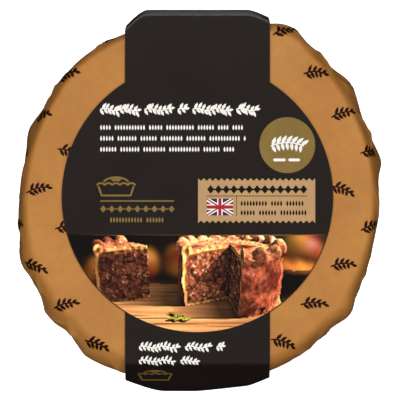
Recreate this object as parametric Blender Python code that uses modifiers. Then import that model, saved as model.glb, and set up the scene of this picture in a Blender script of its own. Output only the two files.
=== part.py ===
"""A raised pie wrapped in printed paper, held in a printed card sleeve.

The pack is shut, so it is two solids: the paper parcel, with the pie inside it, and the sleeve,
one strip of folding board that runs over the top, down both ends and under the base, where its
two ends overlap and are glued. A round panel is part of the same strip and lies on the top.

Metres, +Z up. The origin is on the table under the middle of the pack, and -Y is the front.
"""
import math

import bmesh
import bpy
from mathutils import Matrix, Vector

# ---- driving sizes -------------------------------------------------------------------------
HEIGHT = 0.058              # table to the top of the card
BOARD = 0.0005              # thickness of the folding board
GLUE_LINE = 0.0001          # between the two ends of the strip, under the base
CLEARANCE = 0.0003          # between the board and the paper

# the paper parcel
PIE_RADIUS = 0.0561         # where the paper lies tight on the pie
SHOULDER_IN = 0.0048        # how far in from the side the flat top starts
SHOULDER_DROP = 0.010       # how far down the rounded top edge ends
SHOULDER_POWER = 2.2        # 2 would be an ellipse; more is squarer
FOOT_IN = 0.0055            # how far the side tucks in at the base
FOOT_RISE = 0.015
FOLD_DEPTH = 0.015          # below the top, the folds of the paper stand out in full
FOOT_FOLD = 0.45            # share of a fold that is left at the base

# Where the gathered paper stands off the pie: bearing in degrees from +X, how far it stands
# out, and its half width in degrees on the clockwise and on the counter-clockwise side.
FOLDS = (
    (10.5, 0.0023, 2.5, 6.0),
    (38.6, 0.0028, 5.5, 3.5),
    (50.0, 0.0018, 7.0, 14.0),
    (60.3, 0.0032, 4.6, 8.0),
    (131.0, 0.0019, 15.0, 8.0),
    (155.8, 0.0022, 4.6, 4.6),
    (180.0, 0.0004, 3.5, 14.0),
    (200.2, 0.0027, 5.4, 4.4),
    (217.2, 0.0031, 5.0, 5.5),
    (233.2, 0.0043, 3.9, 13.0),
    (297.5, 0.0019, 14.0, 8.5),
    (323.6, 0.0029, 4.2, 3.6),
    (340.0, 0.0004, 9.0, 2.5),
)

# the card sleeve
BAND_HALF = 0.0226          # half the width of the band
BAND_X = -0.0008            # the band and its round panel sit a little off the middle
PANEL_RADIUS = 0.0423
PANEL_Y = 0.0009
FRONT_REACH = 0.0602        # how far the front end of the sleeve reaches at most
BACK_REACH = 0.0604
# Seen from above, each end is straight but for soft bends. A bend is the x where it starts, the
# side it lies on, the slope it adds beyond, and how softly it sets in.
FRONT_BENDS = (
    (-0.0105, -1, 0.44, 0.006),
    (-0.0020, 1, 0.115, 0.002),
    (0.0145, 1, 0.33, 0.0015),
)
BACK_BENDS = (
    (-0.0163, -1, 1.20, 0.004),
    (0.0146, 1, 0.57, 0.004),
)
FRONT_FOLD = 0.0511         # how far forward the flat top goes before it folds down
FRONT_SLOPE = 52.0          # how steeply the front falls from that fold to the wall, in degrees
FOLD_ROUND = 0.0020         # radius of that fold
KNEE_ROUND = 0.0070         # radius where the slope turns into the wall
BACK_CREASE = 0.0007        # radius of the creased fold at the back edge
BACK_FLARE = 0.0031         # how far the back wall stands out beyond its crease
FRONT_FLARE = 0.0004
BELLY_HEIGHT = 0.034        # where the end walls stand out most
BELLY_ROUND = 0.040
FOOT_CREASE = 0.0016
FOOT_TUCK = 0.0026          # how far the end walls lean in at the base
LAP_HALF = 0.008            # half the length of the glued overlap
LAP_RAMP = 0.010            # length over which the inner end steps up onto the outer one
PRESS_MARGIN = 0.0004       # more room for the paper where the end walls hold it in
PRESS_BESIDE = 0.0025       # how far beside the band the paper is still held in
PRESS_RELAX = 1.5           # how fast it springs out again beyond that

# fineness of the meshes
AROUND = 144
SHOULDER_STEPS = 8
FOOT_STEPS = 5
PANEL_ROWS = 20
BAND_COLUMNS = 14
CREASE_STEPS = 3
SOFT_STEPS = 4

MID_TOP = HEIGHT - BOARD / 2
MID_FOOT = BOARD / 2
MID_LAP = MID_FOOT + BOARD + GLUE_LINE
PAPER_TOP = HEIGHT - BOARD - CLEARANCE
PAPER_FOOT = MID_LAP + BOARD / 2 + CLEARANCE


def clear_scene():
    for thing in list(bpy.data.objects):
        bpy.data.objects.remove(thing, do_unlink=True)


def material(name, colour, roughness):
    """A Principled material; colour is linear RGB."""
    finish = bpy.data.materials.new(name)
    finish.use_nodes = True
    shader = finish.node_tree.nodes["Principled BSDF"]
    shader.inputs["Base Color"].default_value = (*colour, 1.0)
    shader.inputs["Roughness"].default_value = roughness
    shader.inputs["Metallic"].default_value = 0.0
    return finish


def smooth_step(value):
    value = min(max(value, 0.0), 1.0)
    return value * value * (3.0 - 2.0 * value)


# ---- the paper parcel ----------------------------------------------------------------------
def stand_off(angle):
    """How far the paper stands off the pie at this angle, in radians, round the side."""
    total = 0.0
    for bearing, height, before, after in FOLDS:
        apart = (math.degrees(angle) - bearing + 180.0) % 360.0 - 180.0
        total += height / math.cosh(apart / (before if apart < 0 else after))
    return total


def fold_share(height):
    """Share of the full fold at this height: none on the flat top, less again at the base."""
    from_top = smooth_step((PAPER_TOP - height) / FOLD_DEPTH)
    from_foot = smooth_step((height - PAPER_FOOT) / FOOT_RISE)
    return from_top * (FOOT_FOLD + (1.0 - FOOT_FOLD) * from_foot)


def wall_inset(height, flare):
    """How far an end wall stands in from its greatest reach at this height."""
    if height > BELLY_HEIGHT:
        return flare * (height - BELLY_HEIGHT) / (MID_TOP - BELLY_HEIGHT)
    return FOOT_TUCK * (BELLY_HEIGHT - height) / (BELLY_HEIGHT - MID_FOOT)


def front_out(x, height):
    """How far forward the front stands at this height: the wall, or the slope above it."""
    wall = front_reach(x) - wall_inset(height, FRONT_FLARE)
    slope = FRONT_FOLD + (MID_TOP - height) / math.tan(math.radians(FRONT_SLOPE))
    return min(wall, slope)


def pressed(x, y, height):
    """The parcel's y at this place, held in by the sleeve's end wall where the band passes."""
    beside = max(abs(x - BAND_X) - BAND_HALF - PRESS_BESIDE, 0.0)
    held_x = min(max(x, BAND_X - BAND_HALF), BAND_X + BAND_HALF)
    room = BOARD / 2 + CLEARANCE + PRESS_MARGIN - PRESS_RELAX * beside
    back = back_reach(held_x) - wall_inset(height, BACK_FLARE) - room
    front = front_out(held_x, height) - room
    return min(max(y, -front), back)


def parcel_profile():
    """Half section of the plain puck, as (radius, height), from the top's centre down."""
    flat = PIE_RADIUS - SHOULDER_IN
    points = [(0.0, PAPER_TOP), (flat * 0.45, PAPER_TOP), (flat * 0.8, PAPER_TOP)]
    for step in range(SHOULDER_STEPS + 1):
        turn = math.pi / 2 * step / SHOULDER_STEPS
        out = math.sin(turn) ** (2.0 / SHOULDER_POWER)
        down = 1.0 - math.cos(turn) ** (2.0 / SHOULDER_POWER)
        points.append((flat + SHOULDER_IN * out, PAPER_TOP - SHOULDER_DROP * down))
    points.append((PIE_RADIUS, (PAPER_TOP - SHOULDER_DROP + PAPER_FOOT + FOOT_RISE) / 2))
    for step in range(FOOT_STEPS + 1):
        turn = math.pi / 2 * step / FOOT_STEPS
        points.append((PIE_RADIUS - FOOT_IN * (1.0 - math.cos(turn)),
                       PAPER_FOOT + FOOT_RISE * (1.0 - math.sin(turn))))
    points.append(((PIE_RADIUS - FOOT_IN) * 0.6, PAPER_FOOT))
    points.append((0.0, PAPER_FOOT))
    return points


def make_wrapped_pie(collection, finish):
    """A turned puck whose side is then pushed out where the paper's folds stand off."""
    mesh = bpy.data.meshes.new("puck_profile")
    outline = [(radius, 0.0, height) for radius, height in parcel_profile()]
    mesh.from_pydata(outline, [(i, i + 1) for i in range(len(outline) - 1)], [])
    turned = bpy.data.objects.new("puck_profile", mesh)
    collection.objects.link(turned)
    screw = turned.modifiers.new("turn", "SCREW")
    screw.steps = AROUND
    screw.render_steps = AROUND
    screw.use_merge_vertices = True
    screw.merge_threshold = 0.00001

    bpy.context.view_layer.update()
    evaluated = turned.evaluated_get(bpy.context.evaluated_depsgraph_get())
    body = bpy.data.meshes.new_from_object(evaluated)
    bpy.data.objects.remove(turned, do_unlink=True)
    body.name = "wrapped_pie"

    for vertex in body.vertices:
        x, y, z = vertex.co
        radius = math.hypot(x, y)
        if radius < 1e-6:
            continue
        towards_side = min(radius / (PIE_RADIUS - FOOT_IN), 1.0)
        push = stand_off(math.atan2(y, x)) * fold_share(z) * towards_side ** 2
        if z <= PAPER_FOOT + 1e-6:
            push = stand_off(math.atan2(y, x)) * FOOT_FOLD * towards_side ** 2
        grow = (radius + push) / radius
        vertex.co = (x * grow, pressed(x * grow, y * grow, z), z)

    body.materials.clear()
    body.materials.append(finish)
    body.shade_smooth()
    body.set_sharp_from_angle(angle=math.radians(40))
    parcel = bpy.data.objects.new("wrapped_pie", body)
    collection.objects.link(parcel)
    return parcel


# ---- the card sleeve -----------------------------------------------------------------------
def lost_to_bends(x, bends):
    """How far the bends have taken an end in at x."""
    lost = 0.0
    for start, side, slope, softness in bends:
        beyond = max(side * (x - start), 0.0)
        lost += slope * (math.hypot(beyond, softness) - softness)
    return lost


def front_reach(x):
    """How far forward the sleeve's front end stands at x."""
    return FRONT_REACH - lost_to_bends(x, FRONT_BENDS)


def back_reach(x):
    """How far back the sleeve's back end stands at x."""
    return BACK_REACH - lost_to_bends(x, BACK_BENDS)


def fillet(before, corner, after, radius, steps):
    """Points of the arc that rounds a corner of a section, from one tangent point to the other."""
    into = (corner - before).normalized()
    out = (after - corner).normalized()
    turn = into.angle(out)
    setback = radius * math.tan(turn / 2)
    start = corner - into * setback
    side = 1.0 if into.x * out.y - into.y * out.x > 0 else -1.0
    centre = start + Vector((-into.y, into.x)) * radius * side
    points = []
    for step in range(steps + 1):
        swing = Matrix.Rotation(side * turn * step / steps, 2)
        points.append(centre + swing @ (start - centre))
    return points


def front_section(x):
    """(y, z) points from the front of the round panel down, under, and up onto the lap."""
    reach = front_reach(x)
    run = 1.0 / math.tan(math.radians(FRONT_SLOPE))
    lean = FRONT_FLARE / (MID_TOP - BELLY_HEIGHT)
    knee_drop = (reach - FRONT_FLARE - FRONT_FOLD) / (run - lean)
    top = Vector((-FRONT_FOLD, MID_TOP))
    knee = Vector((-(FRONT_FOLD + run * knee_drop), MID_TOP - knee_drop))
    belly = Vector((-reach, BELLY_HEIGHT))
    foot = Vector((-(reach - FOOT_TUCK), MID_FOOT))
    start = Vector((0.0, MID_TOP))
    ramp_foot = Vector((-(LAP_HALF + LAP_RAMP + 0.001), MID_FOOT))
    ramp_head = Vector((-(LAP_HALF + 0.001), MID_LAP))
    end = Vector((LAP_HALF, MID_LAP))
    points = fillet(start, top, knee, FOLD_ROUND, CREASE_STEPS)
    points += fillet(top, knee, belly, KNEE_ROUND, SOFT_STEPS)
    points += fillet(knee, belly, foot, BELLY_ROUND, CREASE_STEPS)
    points += fillet(belly, foot, ramp_foot, FOOT_CREASE, CREASE_STEPS)
    return points + [ramp_foot, ramp_foot.lerp(ramp_head, 0.5), ramp_head, end]


def back_section(x):
    """(y, z) points from the back of the round panel down, and under to the strip's outer end."""
    reach = back_reach(x)
    top = Vector((reach - BACK_FLARE, MID_TOP))
    belly = Vector((reach, BELLY_HEIGHT))
    foot = Vector((reach - FOOT_TUCK, MID_FOOT))
    start = Vector((0.0, MID_TOP))
    end = Vector((-LAP_HALF, MID_FOOT))
    points = fillet(start, top, belly, BACK_CREASE, CREASE_STEPS)
    points += fillet(top, belly, foot, BELLY_ROUND, CREASE_STEPS)
    points += fillet(belly, foot, end, FOOT_CREASE, CREASE_STEPS)
    return points + [foot.lerp(end, 0.5), end]


def panel_rows():
    """(y, half width) of the rows across the round panel, from its front to its back."""
    joins = math.acos(BAND_HALF / PANEL_RADIUS)
    rows = []
    for step in range(PANEL_ROWS + 1):
        turn = -joins + 2 * joins * step / PANEL_ROWS
        rows.append((PANEL_Y + PANEL_RADIUS * math.sin(turn), PANEL_RADIUS * math.cos(turn)))
    return rows


def make_card_sleeve(collection, finish):
    """A flat grid bent into the folded strip, then given the board's thickness."""
    across = [-1.0 + 2.0 * column / BAND_COLUMNS for column in range(BAND_COLUMNS + 1)]
    fronts = [front_section(BAND_X + BAND_HALF * share) for share in across]
    backs = [back_section(BAND_X + BAND_HALF * share) for share in across]
    panel = panel_rows()
    places = []
    for index in reversed(range(len(fronts[0]))):
        row = []
        for share, section in zip(across, fronts):
            row.append((BAND_X + BAND_HALF * share, *section[index]))
        places.append(row)
    for y, half in panel:
        places.append([(BAND_X + half * share, y, MID_TOP) for share in across])
    for index in range(len(backs[0])):
        row = []
        for share, section in zip(across, backs):
            row.append((BAND_X + BAND_HALF * share, *section[index]))
        places.append(row)

    sheet = bmesh.new()
    bmesh.ops.create_grid(sheet, x_segments=len(across) - 1, y_segments=len(places) - 1, size=1.0)
    sheet.verts.ensure_lookup_table()
    for vertex in sheet.verts:
        column = round((vertex.co.x + 1.0) / 2.0 * (len(across) - 1))
        row = round((vertex.co.y + 1.0) / 2.0 * (len(places) - 1))
        vertex.co = places[row][column]
    mesh = bpy.data.meshes.new("card_sleeve")
    sheet.to_mesh(mesh)
    sheet.free()
    mesh.materials.append(finish)
    mesh.shade_smooth()
    mesh.set_sharp_from_angle(angle=math.radians(40))

    sleeve = bpy.data.objects.new("card_sleeve", mesh)
    collection.objects.link(sleeve)
    thickness = sleeve.modifiers.new("board", "SOLIDIFY")
    thickness.thickness = BOARD
    thickness.offset = 0.0
    thickness.use_even_offset = True
    return sleeve


def main():
    clear_scene()
    collection = bpy.data.collections.new("wrapped_pie_pack")
    bpy.context.scene.collection.children.link(collection)
    paper = material("printed_paper", (0.503, 0.220, 0.061), 0.55)
    board = material("black_card", (0.023, 0.018, 0.016), 0.45)
    make_wrapped_pie(collection, paper)
    make_card_sleeve(collection, board)


main()
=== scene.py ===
# %% [markdown]
# # A wrapped raised pie in its card sleeve
#
# A large savoury pie is sold wrapped in printed greaseproof paper, and one strip of printed black
# board holds the paper shut. The strip is a band with a round panel in it. This file dresses the
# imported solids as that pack: the folded paper, the bent board and the inks that lie on both are
# made one step at a time, with sizes taken from the solids.

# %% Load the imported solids
import math
import random

import bmesh
import bpy
import numpy as np
from mathutils import Matrix, Vector
from mathutils.geometry import delaunay_2d_cdt


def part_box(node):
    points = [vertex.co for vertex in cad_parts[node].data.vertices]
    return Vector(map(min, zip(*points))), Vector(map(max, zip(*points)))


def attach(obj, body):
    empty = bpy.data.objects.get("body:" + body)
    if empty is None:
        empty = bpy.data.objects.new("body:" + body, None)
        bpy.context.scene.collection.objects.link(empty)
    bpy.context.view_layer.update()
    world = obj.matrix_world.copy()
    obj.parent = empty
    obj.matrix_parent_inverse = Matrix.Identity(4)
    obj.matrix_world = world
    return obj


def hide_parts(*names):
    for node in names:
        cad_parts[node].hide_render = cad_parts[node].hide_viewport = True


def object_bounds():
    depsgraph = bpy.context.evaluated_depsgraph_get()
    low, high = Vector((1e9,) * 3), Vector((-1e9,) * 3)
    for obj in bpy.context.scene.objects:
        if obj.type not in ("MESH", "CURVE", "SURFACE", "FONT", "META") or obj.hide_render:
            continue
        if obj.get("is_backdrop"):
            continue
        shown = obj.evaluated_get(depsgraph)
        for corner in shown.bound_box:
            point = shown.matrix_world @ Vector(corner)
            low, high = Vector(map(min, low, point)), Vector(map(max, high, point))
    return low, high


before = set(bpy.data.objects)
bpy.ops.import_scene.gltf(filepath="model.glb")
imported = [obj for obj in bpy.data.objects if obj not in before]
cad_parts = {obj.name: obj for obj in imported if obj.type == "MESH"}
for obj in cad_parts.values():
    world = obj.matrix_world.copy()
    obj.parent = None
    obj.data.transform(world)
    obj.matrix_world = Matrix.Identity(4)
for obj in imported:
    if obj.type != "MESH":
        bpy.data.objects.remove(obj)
cad_box = [list(corner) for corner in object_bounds()]
print("solids:", sorted(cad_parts), "box", cad_box)

# %% [markdown]
# ## Sizes
#
# The imported solids already say how tall the pack is, where the paper starts and ends, how wide
# the round panel is and how far the sleeve reaches. Heights, the panel and the band's place are
# read from them; the other sizes are given below.

# %% Read the sizes
MM = 0.001
paper_low, paper_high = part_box("wrapped_pie")
sleeve_low, sleeve_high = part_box("card_sleeve")

BOARD = 0.5 * MM                            # thickness of the folding board
PANEL_RADIUS = (sleeve_high.x - sleeve_low.x) / 2
BAND_X = (sleeve_high.x + sleeve_low.x) / 2
PANEL_Y = 0.9 * MM
CARD_TOP = round(sleeve_high.z, 4)
PAPER_TOP = paper_high.z
PAPER_FOOT = paper_low.z
print(f"panel radius {PANEL_RADIUS / MM:.1f} mm, band {BAND_X / MM:.1f} mm off the middle")
print(f"paper {PAPER_FOOT / MM:.1f} to {PAPER_TOP / MM:.1f} mm, card up to {CARD_TOP / MM:.1f} mm")

# %% [markdown]
# ## Two helpers
#
# One function turns a hex colour, as a designer would note it, into the linear values that
# shaders use. The other adds a node to any tree: the values fill its open sockets in order, and
# a value may be a number, another node or one of its sockets.

# %% Colours and nodes
def linear(hex_colour):
    """'#c08446' as linear RGBA."""
    channels = [int(hex_colour[i:i + 2], 16) / 255 for i in (1, 3, 5)]
    turned = [c / 12.92 if c <= 0.04045 else ((c + 0.055) / 1.055) ** 2.4 for c in channels]
    return (*turned, 1.0)


def add(tree, kind, *values, sockets=None, **settings):
    """Add a node with its settings; values fill its sockets in order, `sockets` by name."""
    node = tree.nodes.new(kind)
    for option, value in settings.items():
        setattr(node, option, value)
    open_inputs = [socket for socket in node.inputs if socket.enabled]
    by_name = {socket.name: socket for socket in reversed(open_inputs)}
    pairs = list(zip(open_inputs, values))
    pairs += [(by_name[name], value) for name, value in (sockets or {}).items()]
    for socket, value in pairs:
        if isinstance(value, bpy.types.Node):
            value = next(output for output in value.outputs if output.enabled)
        if isinstance(value, bpy.types.NodeSocket):
            tree.links.new(value, socket)
        elif value is not None:
            socket.default_value = value
    return node


print("tan paper in linear light:", [round(c, 3) for c in linear("#c08446")[:3]])

# %% [markdown]
# ## Camera
#
# The pack is shown from straight above with almost no perspective, so the camera is far away and
# has a long lens. Its frame is as wide as the pack needs at mid height, where the paper bulges.

# %% Place the camera
CAMERA_AWAY = 1.20
FRAME_WIDTH = 127.6 * MM
MID_HEIGHT = 30.0 * MM

camera_data = bpy.data.cameras.new("camera")
camera_data.sensor_width = 36.0
camera_data.lens = camera_data.sensor_width * CAMERA_AWAY / FRAME_WIDTH
camera_data.clip_end = 20.0
camera = bpy.data.objects.new("camera", camera_data)
camera.location = (0.0, 0.0, MID_HEIGHT + CAMERA_AWAY)
bpy.context.scene.collection.objects.link(camera)
bpy.context.scene.camera = camera
print(f"lens {camera_data.lens:.0f} mm, {CAMERA_AWAY:.1f} m away")

# %% [markdown]
# ## Floor and light
#
# The floor is pale and plain, and glows a little, so that only the shadow right beside the pack
# shows on it; a pale dome closes the room behind it. Six soft boxes stand in a ring, high up, the
# strongest behind the pack. None is straight overhead, where the flat black card would mirror
# it. Floor and dome are left out of the light that the pack gathers, so that the paper's steep
# sides stay deep. Only the black card's back panel, seen almost edge on, has something to mirror:
# a long grey card that lies on the floor behind it and shows in reflections alone.

# %% Make the floor
def new_finish(name, colour, roughness, specular=0.5):
    """A material whose shader carries these values on its own sockets."""
    finish = bpy.data.materials.new(name)
    finish.use_nodes = True
    shader = finish.node_tree.nodes["Principled BSDF"]
    shader.inputs["Base Color"].default_value = linear(colour)
    shader.inputs["Roughness"].default_value = roughness
    shader.inputs["Specular IOR Level"].default_value = specular
    return finish


FLOOR_HALF = 4.0
floor_mesh = bpy.data.meshes.new("floor")
floor_corners = [(-FLOOR_HALF, -FLOOR_HALF, 0.0), (FLOOR_HALF, -FLOOR_HALF, 0.0),
                 (FLOOR_HALF, FLOOR_HALF, 0.0), (-FLOOR_HALF, FLOOR_HALF, 0.0)]
floor_mesh.from_pydata(floor_corners, [], [(0, 1, 2, 3)])
floor_finish = new_finish("pale_matt_floor", "#fbfbfb", 0.9, 0.0)
floor_shader = floor_finish.node_tree.nodes["Principled BSDF"]
floor_shader.inputs["Emission Color"].default_value = (1.0, 1.0, 1.0, 1.0)
floor_shader.inputs["Emission Strength"].default_value = 0.85
floor_mesh.materials.append(floor_finish)
floor = bpy.data.objects.new("floor", floor_mesh)
floor.visible_diffuse = False
floor.visible_glossy = False
bpy.context.scene.collection.objects.link(floor)
floor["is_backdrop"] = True

backdrop_mesh = bpy.data.meshes.new("backdrop")
backdrop_shape = bmesh.new()
bmesh.ops.create_uvsphere(backdrop_shape, u_segments=48, v_segments=24, radius=FLOOR_HALF - 0.1)
backdrop_shape.to_mesh(backdrop_mesh)
backdrop_shape.free()
backdrop_mesh.shade_smooth()
backdrop_finish = new_finish("pale_paper_backdrop", "#fbfbfb", 0.9, 0.0)
backdrop_shader = backdrop_finish.node_tree.nodes["Principled BSDF"]
backdrop_shader.inputs["Emission Color"].default_value = (1.0, 1.0, 1.0, 1.0)
backdrop_shader.inputs["Emission Strength"].default_value = 0.95
backdrop_mesh.materials.append(backdrop_finish)
backdrop = bpy.data.objects.new("backdrop", backdrop_mesh)
backdrop.visible_diffuse = False
backdrop.visible_glossy = False
backdrop.visible_shadow = False
bpy.context.scene.collection.objects.link(backdrop)
backdrop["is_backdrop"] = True
print("floor", 2 * FLOOR_HALF, "m square, under a round backdrop")

# %% Lay a grey card behind the pack
CARD_HALF = 30.0 * MM
CARD_FROM = 77.0 * MM
CARD_TO = 1.5
reflector_mesh = bpy.data.meshes.new("grey_reflector")
reflector_corners = [(-CARD_HALF, CARD_FROM, 0.0005), (CARD_HALF, CARD_FROM, 0.0005),
                     (CARD_HALF, CARD_TO, 0.0005), (-CARD_HALF, CARD_TO, 0.0005)]
reflector_mesh.from_pydata(reflector_corners, [], [(0, 1, 2, 3)])
reflector_finish = new_finish("grey_reflector_card", "#7a7a7c", 0.9, 0.0)
reflector_shader = reflector_finish.node_tree.nodes["Principled BSDF"]
reflector_shader.inputs["Emission Color"].default_value = (1.0, 0.96, 0.98, 1.0)
reflector_shader.inputs["Emission Strength"].default_value = 0.6
reflector_mesh.materials.append(reflector_finish)
reflector = bpy.data.objects.new("grey_reflector", reflector_mesh)
reflector.visible_camera = False
reflector.visible_diffuse = False
reflector.visible_shadow = False
bpy.context.scene.collection.objects.link(reflector)
reflector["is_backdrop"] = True
print(f"grey card: {2 * CARD_HALF / MM:.0f} mm wide, {CARD_TO - CARD_FROM:.2f} m long")

# %% Make the lights
LIGHTS = 6
LIGHT_AWAY = 1.6
LIGHT_SIDE = 0.75
LIGHT_ABOVE = 66.0                  # degrees over the horizon
LIGHT_POWER = 5.35
BEHIND_MORE = 0.22                  # how much stronger the light from behind is

for index in range(LIGHTS):
    around = 60.0 + 360.0 * index / LIGHTS
    lamp = bpy.data.lights.new(f"soft_box_{index + 1}", "AREA")
    lamp.shape = "SQUARE"
    lamp.size = LIGHT_SIDE
    lamp.energy = LIGHT_POWER * (1.0 + BEHIND_MORE * math.cos(math.radians(around - 90.0)))
    light = bpy.data.objects.new(lamp.name, lamp)
    swing = Matrix.Rotation(math.radians(around), 3, "Z")
    away = swing @ Matrix.Rotation(-math.radians(LIGHT_ABOVE), 3, "Y") @ Vector((LIGHT_AWAY, 0, 0))
    light.location = away + Vector((0.0, 0.0, MID_HEIGHT))
    light.rotation_euler = (-away).to_track_quat("-Z", "Y").to_euler()
    bpy.context.scene.collection.objects.link(light)

world = bpy.data.worlds.new("dim_studio")
world.use_nodes = True
world.node_tree.nodes["Background"].inputs["Color"].default_value = (1.0, 1.0, 1.0, 1.0)
world.node_tree.nodes["Background"].inputs["Strength"].default_value = 0.02
bpy.context.scene.world = world
bpy.context.scene.view_settings.view_transform = "Standard"
print("lights:", LIGHTS)

# %% [markdown]
# ## The folds of the paper
#
# A flat sheet can't lie smoothly on a round pie: what is spare gathers into soft folds that
# stand off the side. Each fold is a few numbers: its bearing, how far it stands off, how wide it
# is on either side, how far it leans on its way down, and where below the top it starts, is fully
# open and fades. They are kept as the points of a mesh, so that Geometry Nodes can read one after
# another. Slanting wrinkles run out from the large folds and small creases lie between them, both
# drawn from a seeded list.

# %% List the folds
FOLD_FIELDS = ("bearing", "stand_off", "before", "after", "lean", "start", "opens", "lasts")
LARGE_FOLDS = (
    # bearing, stand-off (mm), half widths in degrees, lean in degrees per mm, start (mm)
    (10.5, 2.3, 2.5, 6.0, 0.10, 1.0),
    (38.6, 2.8, 5.5, 3.5, -0.10, -3.0),
    (50.0, 1.8, 7.0, 14.0, 0.00, -10.0),
    (60.3, 3.2, 4.6, 8.0, 0.10, -10.0),
    (131.0, 1.9, 15.0, 8.0, 0.00, -9.0),
    (155.8, 2.2, 4.6, 4.6, 0.10, 1.0),
    (180.0, 0.4, 3.5, 14.0, 0.00, -8.0),
    (200.2, 2.7, 5.4, 4.4, -0.10, -8.0),
    (217.2, 3.1, 5.0, 5.5, 0.08, -7.0),
    (233.2, 4.3, 3.9, 13.0, 0.10, -6.0),
    (297.5, 1.9, 14.0, 8.5, 0.00, -8.0),
    (323.6, 2.9, 4.2, 3.6, -0.10, -8.0),
    (340.0, 0.4, 9.0, 2.5, 0.00, -6.0),
)
FOLD_OPENS = 15.0                   # mm below its start, a large fold stands out in full
ALWAYS = 999.0                      # mm: it runs on to the base
WRINKLED = 1.5                      # mm: folds that stand out this far have wrinkles
SMALL_CREASES = 46


def all_folds():
    """The large folds, the wrinkles beside them and the small creases, in mm and degrees."""
    picker = random.Random(7)
    rows = [(*fold, FOLD_OPENS, ALWAYS) for fold in LARGE_FOLDS]
    for bearing, stand_off, *_ in LARGE_FOLDS:
        for side in (-1, 1, -1, 1) if stand_off > WRINKLED else ():
            rows.append((bearing + side * picker.uniform(1.5, 9.0), picker.uniform(0.3, 0.6),
                         picker.uniform(0.8, 1.3), picker.uniform(0.8, 1.3),
                         side * picker.uniform(0.6, 1.8), picker.uniform(-1.0, 4.0),
                         picker.uniform(2.5, 5.0), picker.uniform(3.5, 7.0)))
    for index in range(SMALL_CREASES):
        rows.append(((index + picker.uniform(-0.4, 0.4)) * 360.0 / SMALL_CREASES,
                     picker.uniform(0.12, 0.45), picker.uniform(0.6, 1.4),
                     picker.uniform(1.2, 3.0), picker.uniform(-0.10, 0.10),
                     picker.uniform(10.0, 24.0), FOLD_OPENS, ALWAYS))
    return rows


def list_object(name, places, fields):
    """An object whose mesh is bare points that carry named numbers: {name: values}."""
    mesh = bpy.data.meshes.new(name)
    mesh.from_pydata(places, [], [])
    for field, values in fields.items():
        mesh.attributes.new(field, "FLOAT", "POINT").data.foreach_set("value", list(values))
    thing = bpy.data.objects.new(name, mesh)
    bpy.context.scene.collection.objects.link(thing)
    return thing


folds = all_folds()
fold_units = dict(zip(FOLD_FIELDS, (1, MM, 1, 1, 1 / MM, MM, MM, MM)))
fold_list = list_object("fold_list", [(0, 0, 0)] * len(folds), {
    field: [value * fold_units[field] for value in values]
    for field, values in zip(FOLD_FIELDS, zip(*folds))})
print("folds:", len(folds))

# %% [markdown]
# ## Half section of the parcel
#
# Without its folds the parcel is a turned shape: a flat top, a rounded shoulder, a straight
# side, a rounded foot and a flat base. The section runs from the middle of the top to the middle
# of the base, with its points closest together where the paper bends. Each point also knows how
# far along the paper it is from the middle of the sheet, which later places the print.

# %% Draw the half section
PIE_RADIUS = 56.1 * MM
SHOULDER_IN = 4.7 * MM
SHOULDER_DROP = 10.0 * MM
SHOULDER_POWER = 2.2
FOOT_IN = 5.5 * MM
FOOT_RISE = 15.0 * MM


def half_section():
    """(radius, height) points from the middle of the top to the middle of the base."""
    flat = PIE_RADIUS - SHOULDER_IN
    side_top = PAPER_TOP - SHOULDER_DROP
    side_foot = PAPER_FOOT + FOOT_RISE
    points = [(flat * (step / 22) ** 0.8, PAPER_TOP) for step in range(22)]
    for step in range(37):
        turn = math.pi / 2 * step / 36
        out = math.sin(turn) ** (2.0 / SHOULDER_POWER)
        down = 1.0 - math.cos(turn) ** (2.0 / SHOULDER_POWER)
        points.append((flat + SHOULDER_IN * out, PAPER_TOP - SHOULDER_DROP * down))
    for step in range(1, 28):
        points.append((PIE_RADIUS, side_top + (side_foot - side_top) * step / 28))
    for step in range(25):
        turn = math.pi / 2 * step / 24
        points.append((PIE_RADIUS - FOOT_IN * (1.0 - math.cos(turn)),
                       side_foot - FOOT_RISE * math.sin(turn)))
    base = PIE_RADIUS - FOOT_IN
    return points + [(base * (1.0 - step / 36), PAPER_FOOT) for step in range(1, 37)]


section = half_section()
along = [0.0]
for before, after in zip(section, section[1:]):
    along.append(along[-1] + math.dist(before, after))
section_list = list_object("section_list", [(r, 0, z) for r, z in section], {"along": along})
print(f"rings: {len(section)}, paper from middle to middle: {along[-1] / MM:.0f} mm")

# %% [markdown]
# ## Geometry Nodes: wrap the sheet round the pie
#
# The paper's shape follows a rule, so a node tree makes it. It starts from a flat grid. Each
# column becomes a bearing and each row a point of the half section; a repeat zone then adds up
# how far every fold pushes the paper out there. Under the base the spare paper is laid in small
# overlapping pleats. A change in the fold list changes the parcel.

# %% Start and run a tree
def new_tree(name, inputs):
    """An empty geometry tree with these named inputs: {name: socket type}."""
    tree = bpy.data.node_groups.new(name, "GeometryNodeTree")
    for label, kind in inputs.items():
        tree.interface.new_socket(label, in_out="INPUT", socket_type="NodeSocket" + kind)
    tree.interface.new_socket("Geometry", in_out="OUTPUT", socket_type="NodeSocketGeometry")
    return tree


def run_tree(tree, name, values):
    """Run a tree, and keep what it makes as a plain mesh object."""
    thing = bpy.data.objects.new(name, bpy.data.meshes.new(name + "_start"))
    bpy.context.scene.collection.objects.link(thing)
    modifier = thing.modifiers.new(tree.name, "NODES")
    modifier.node_group = tree
    for item in tree.interface.items_tree:
        if item.name in values:
            modifier[item.identifier] = values[item.name]
    bpy.context.view_layer.update()
    graph = bpy.context.evaluated_depsgraph_get()
    mesh = bpy.data.meshes.new_from_object(thing.evaluated_get(graph),
                                           preserve_all_data_layers=True, depsgraph=graph)
    thing.modifiers.clear()
    thing.data = mesh
    mesh.name = name
    return thing


# %% Build the wrapping tree: bearings, rings and folds
MATH = "ShaderNodeMath"
RANGE = "ShaderNodeMapRange"
ATTRIBUTE = "GeometryNodeInputNamedAttribute"
SAMPLE = "GeometryNodeSampleIndex"

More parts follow.
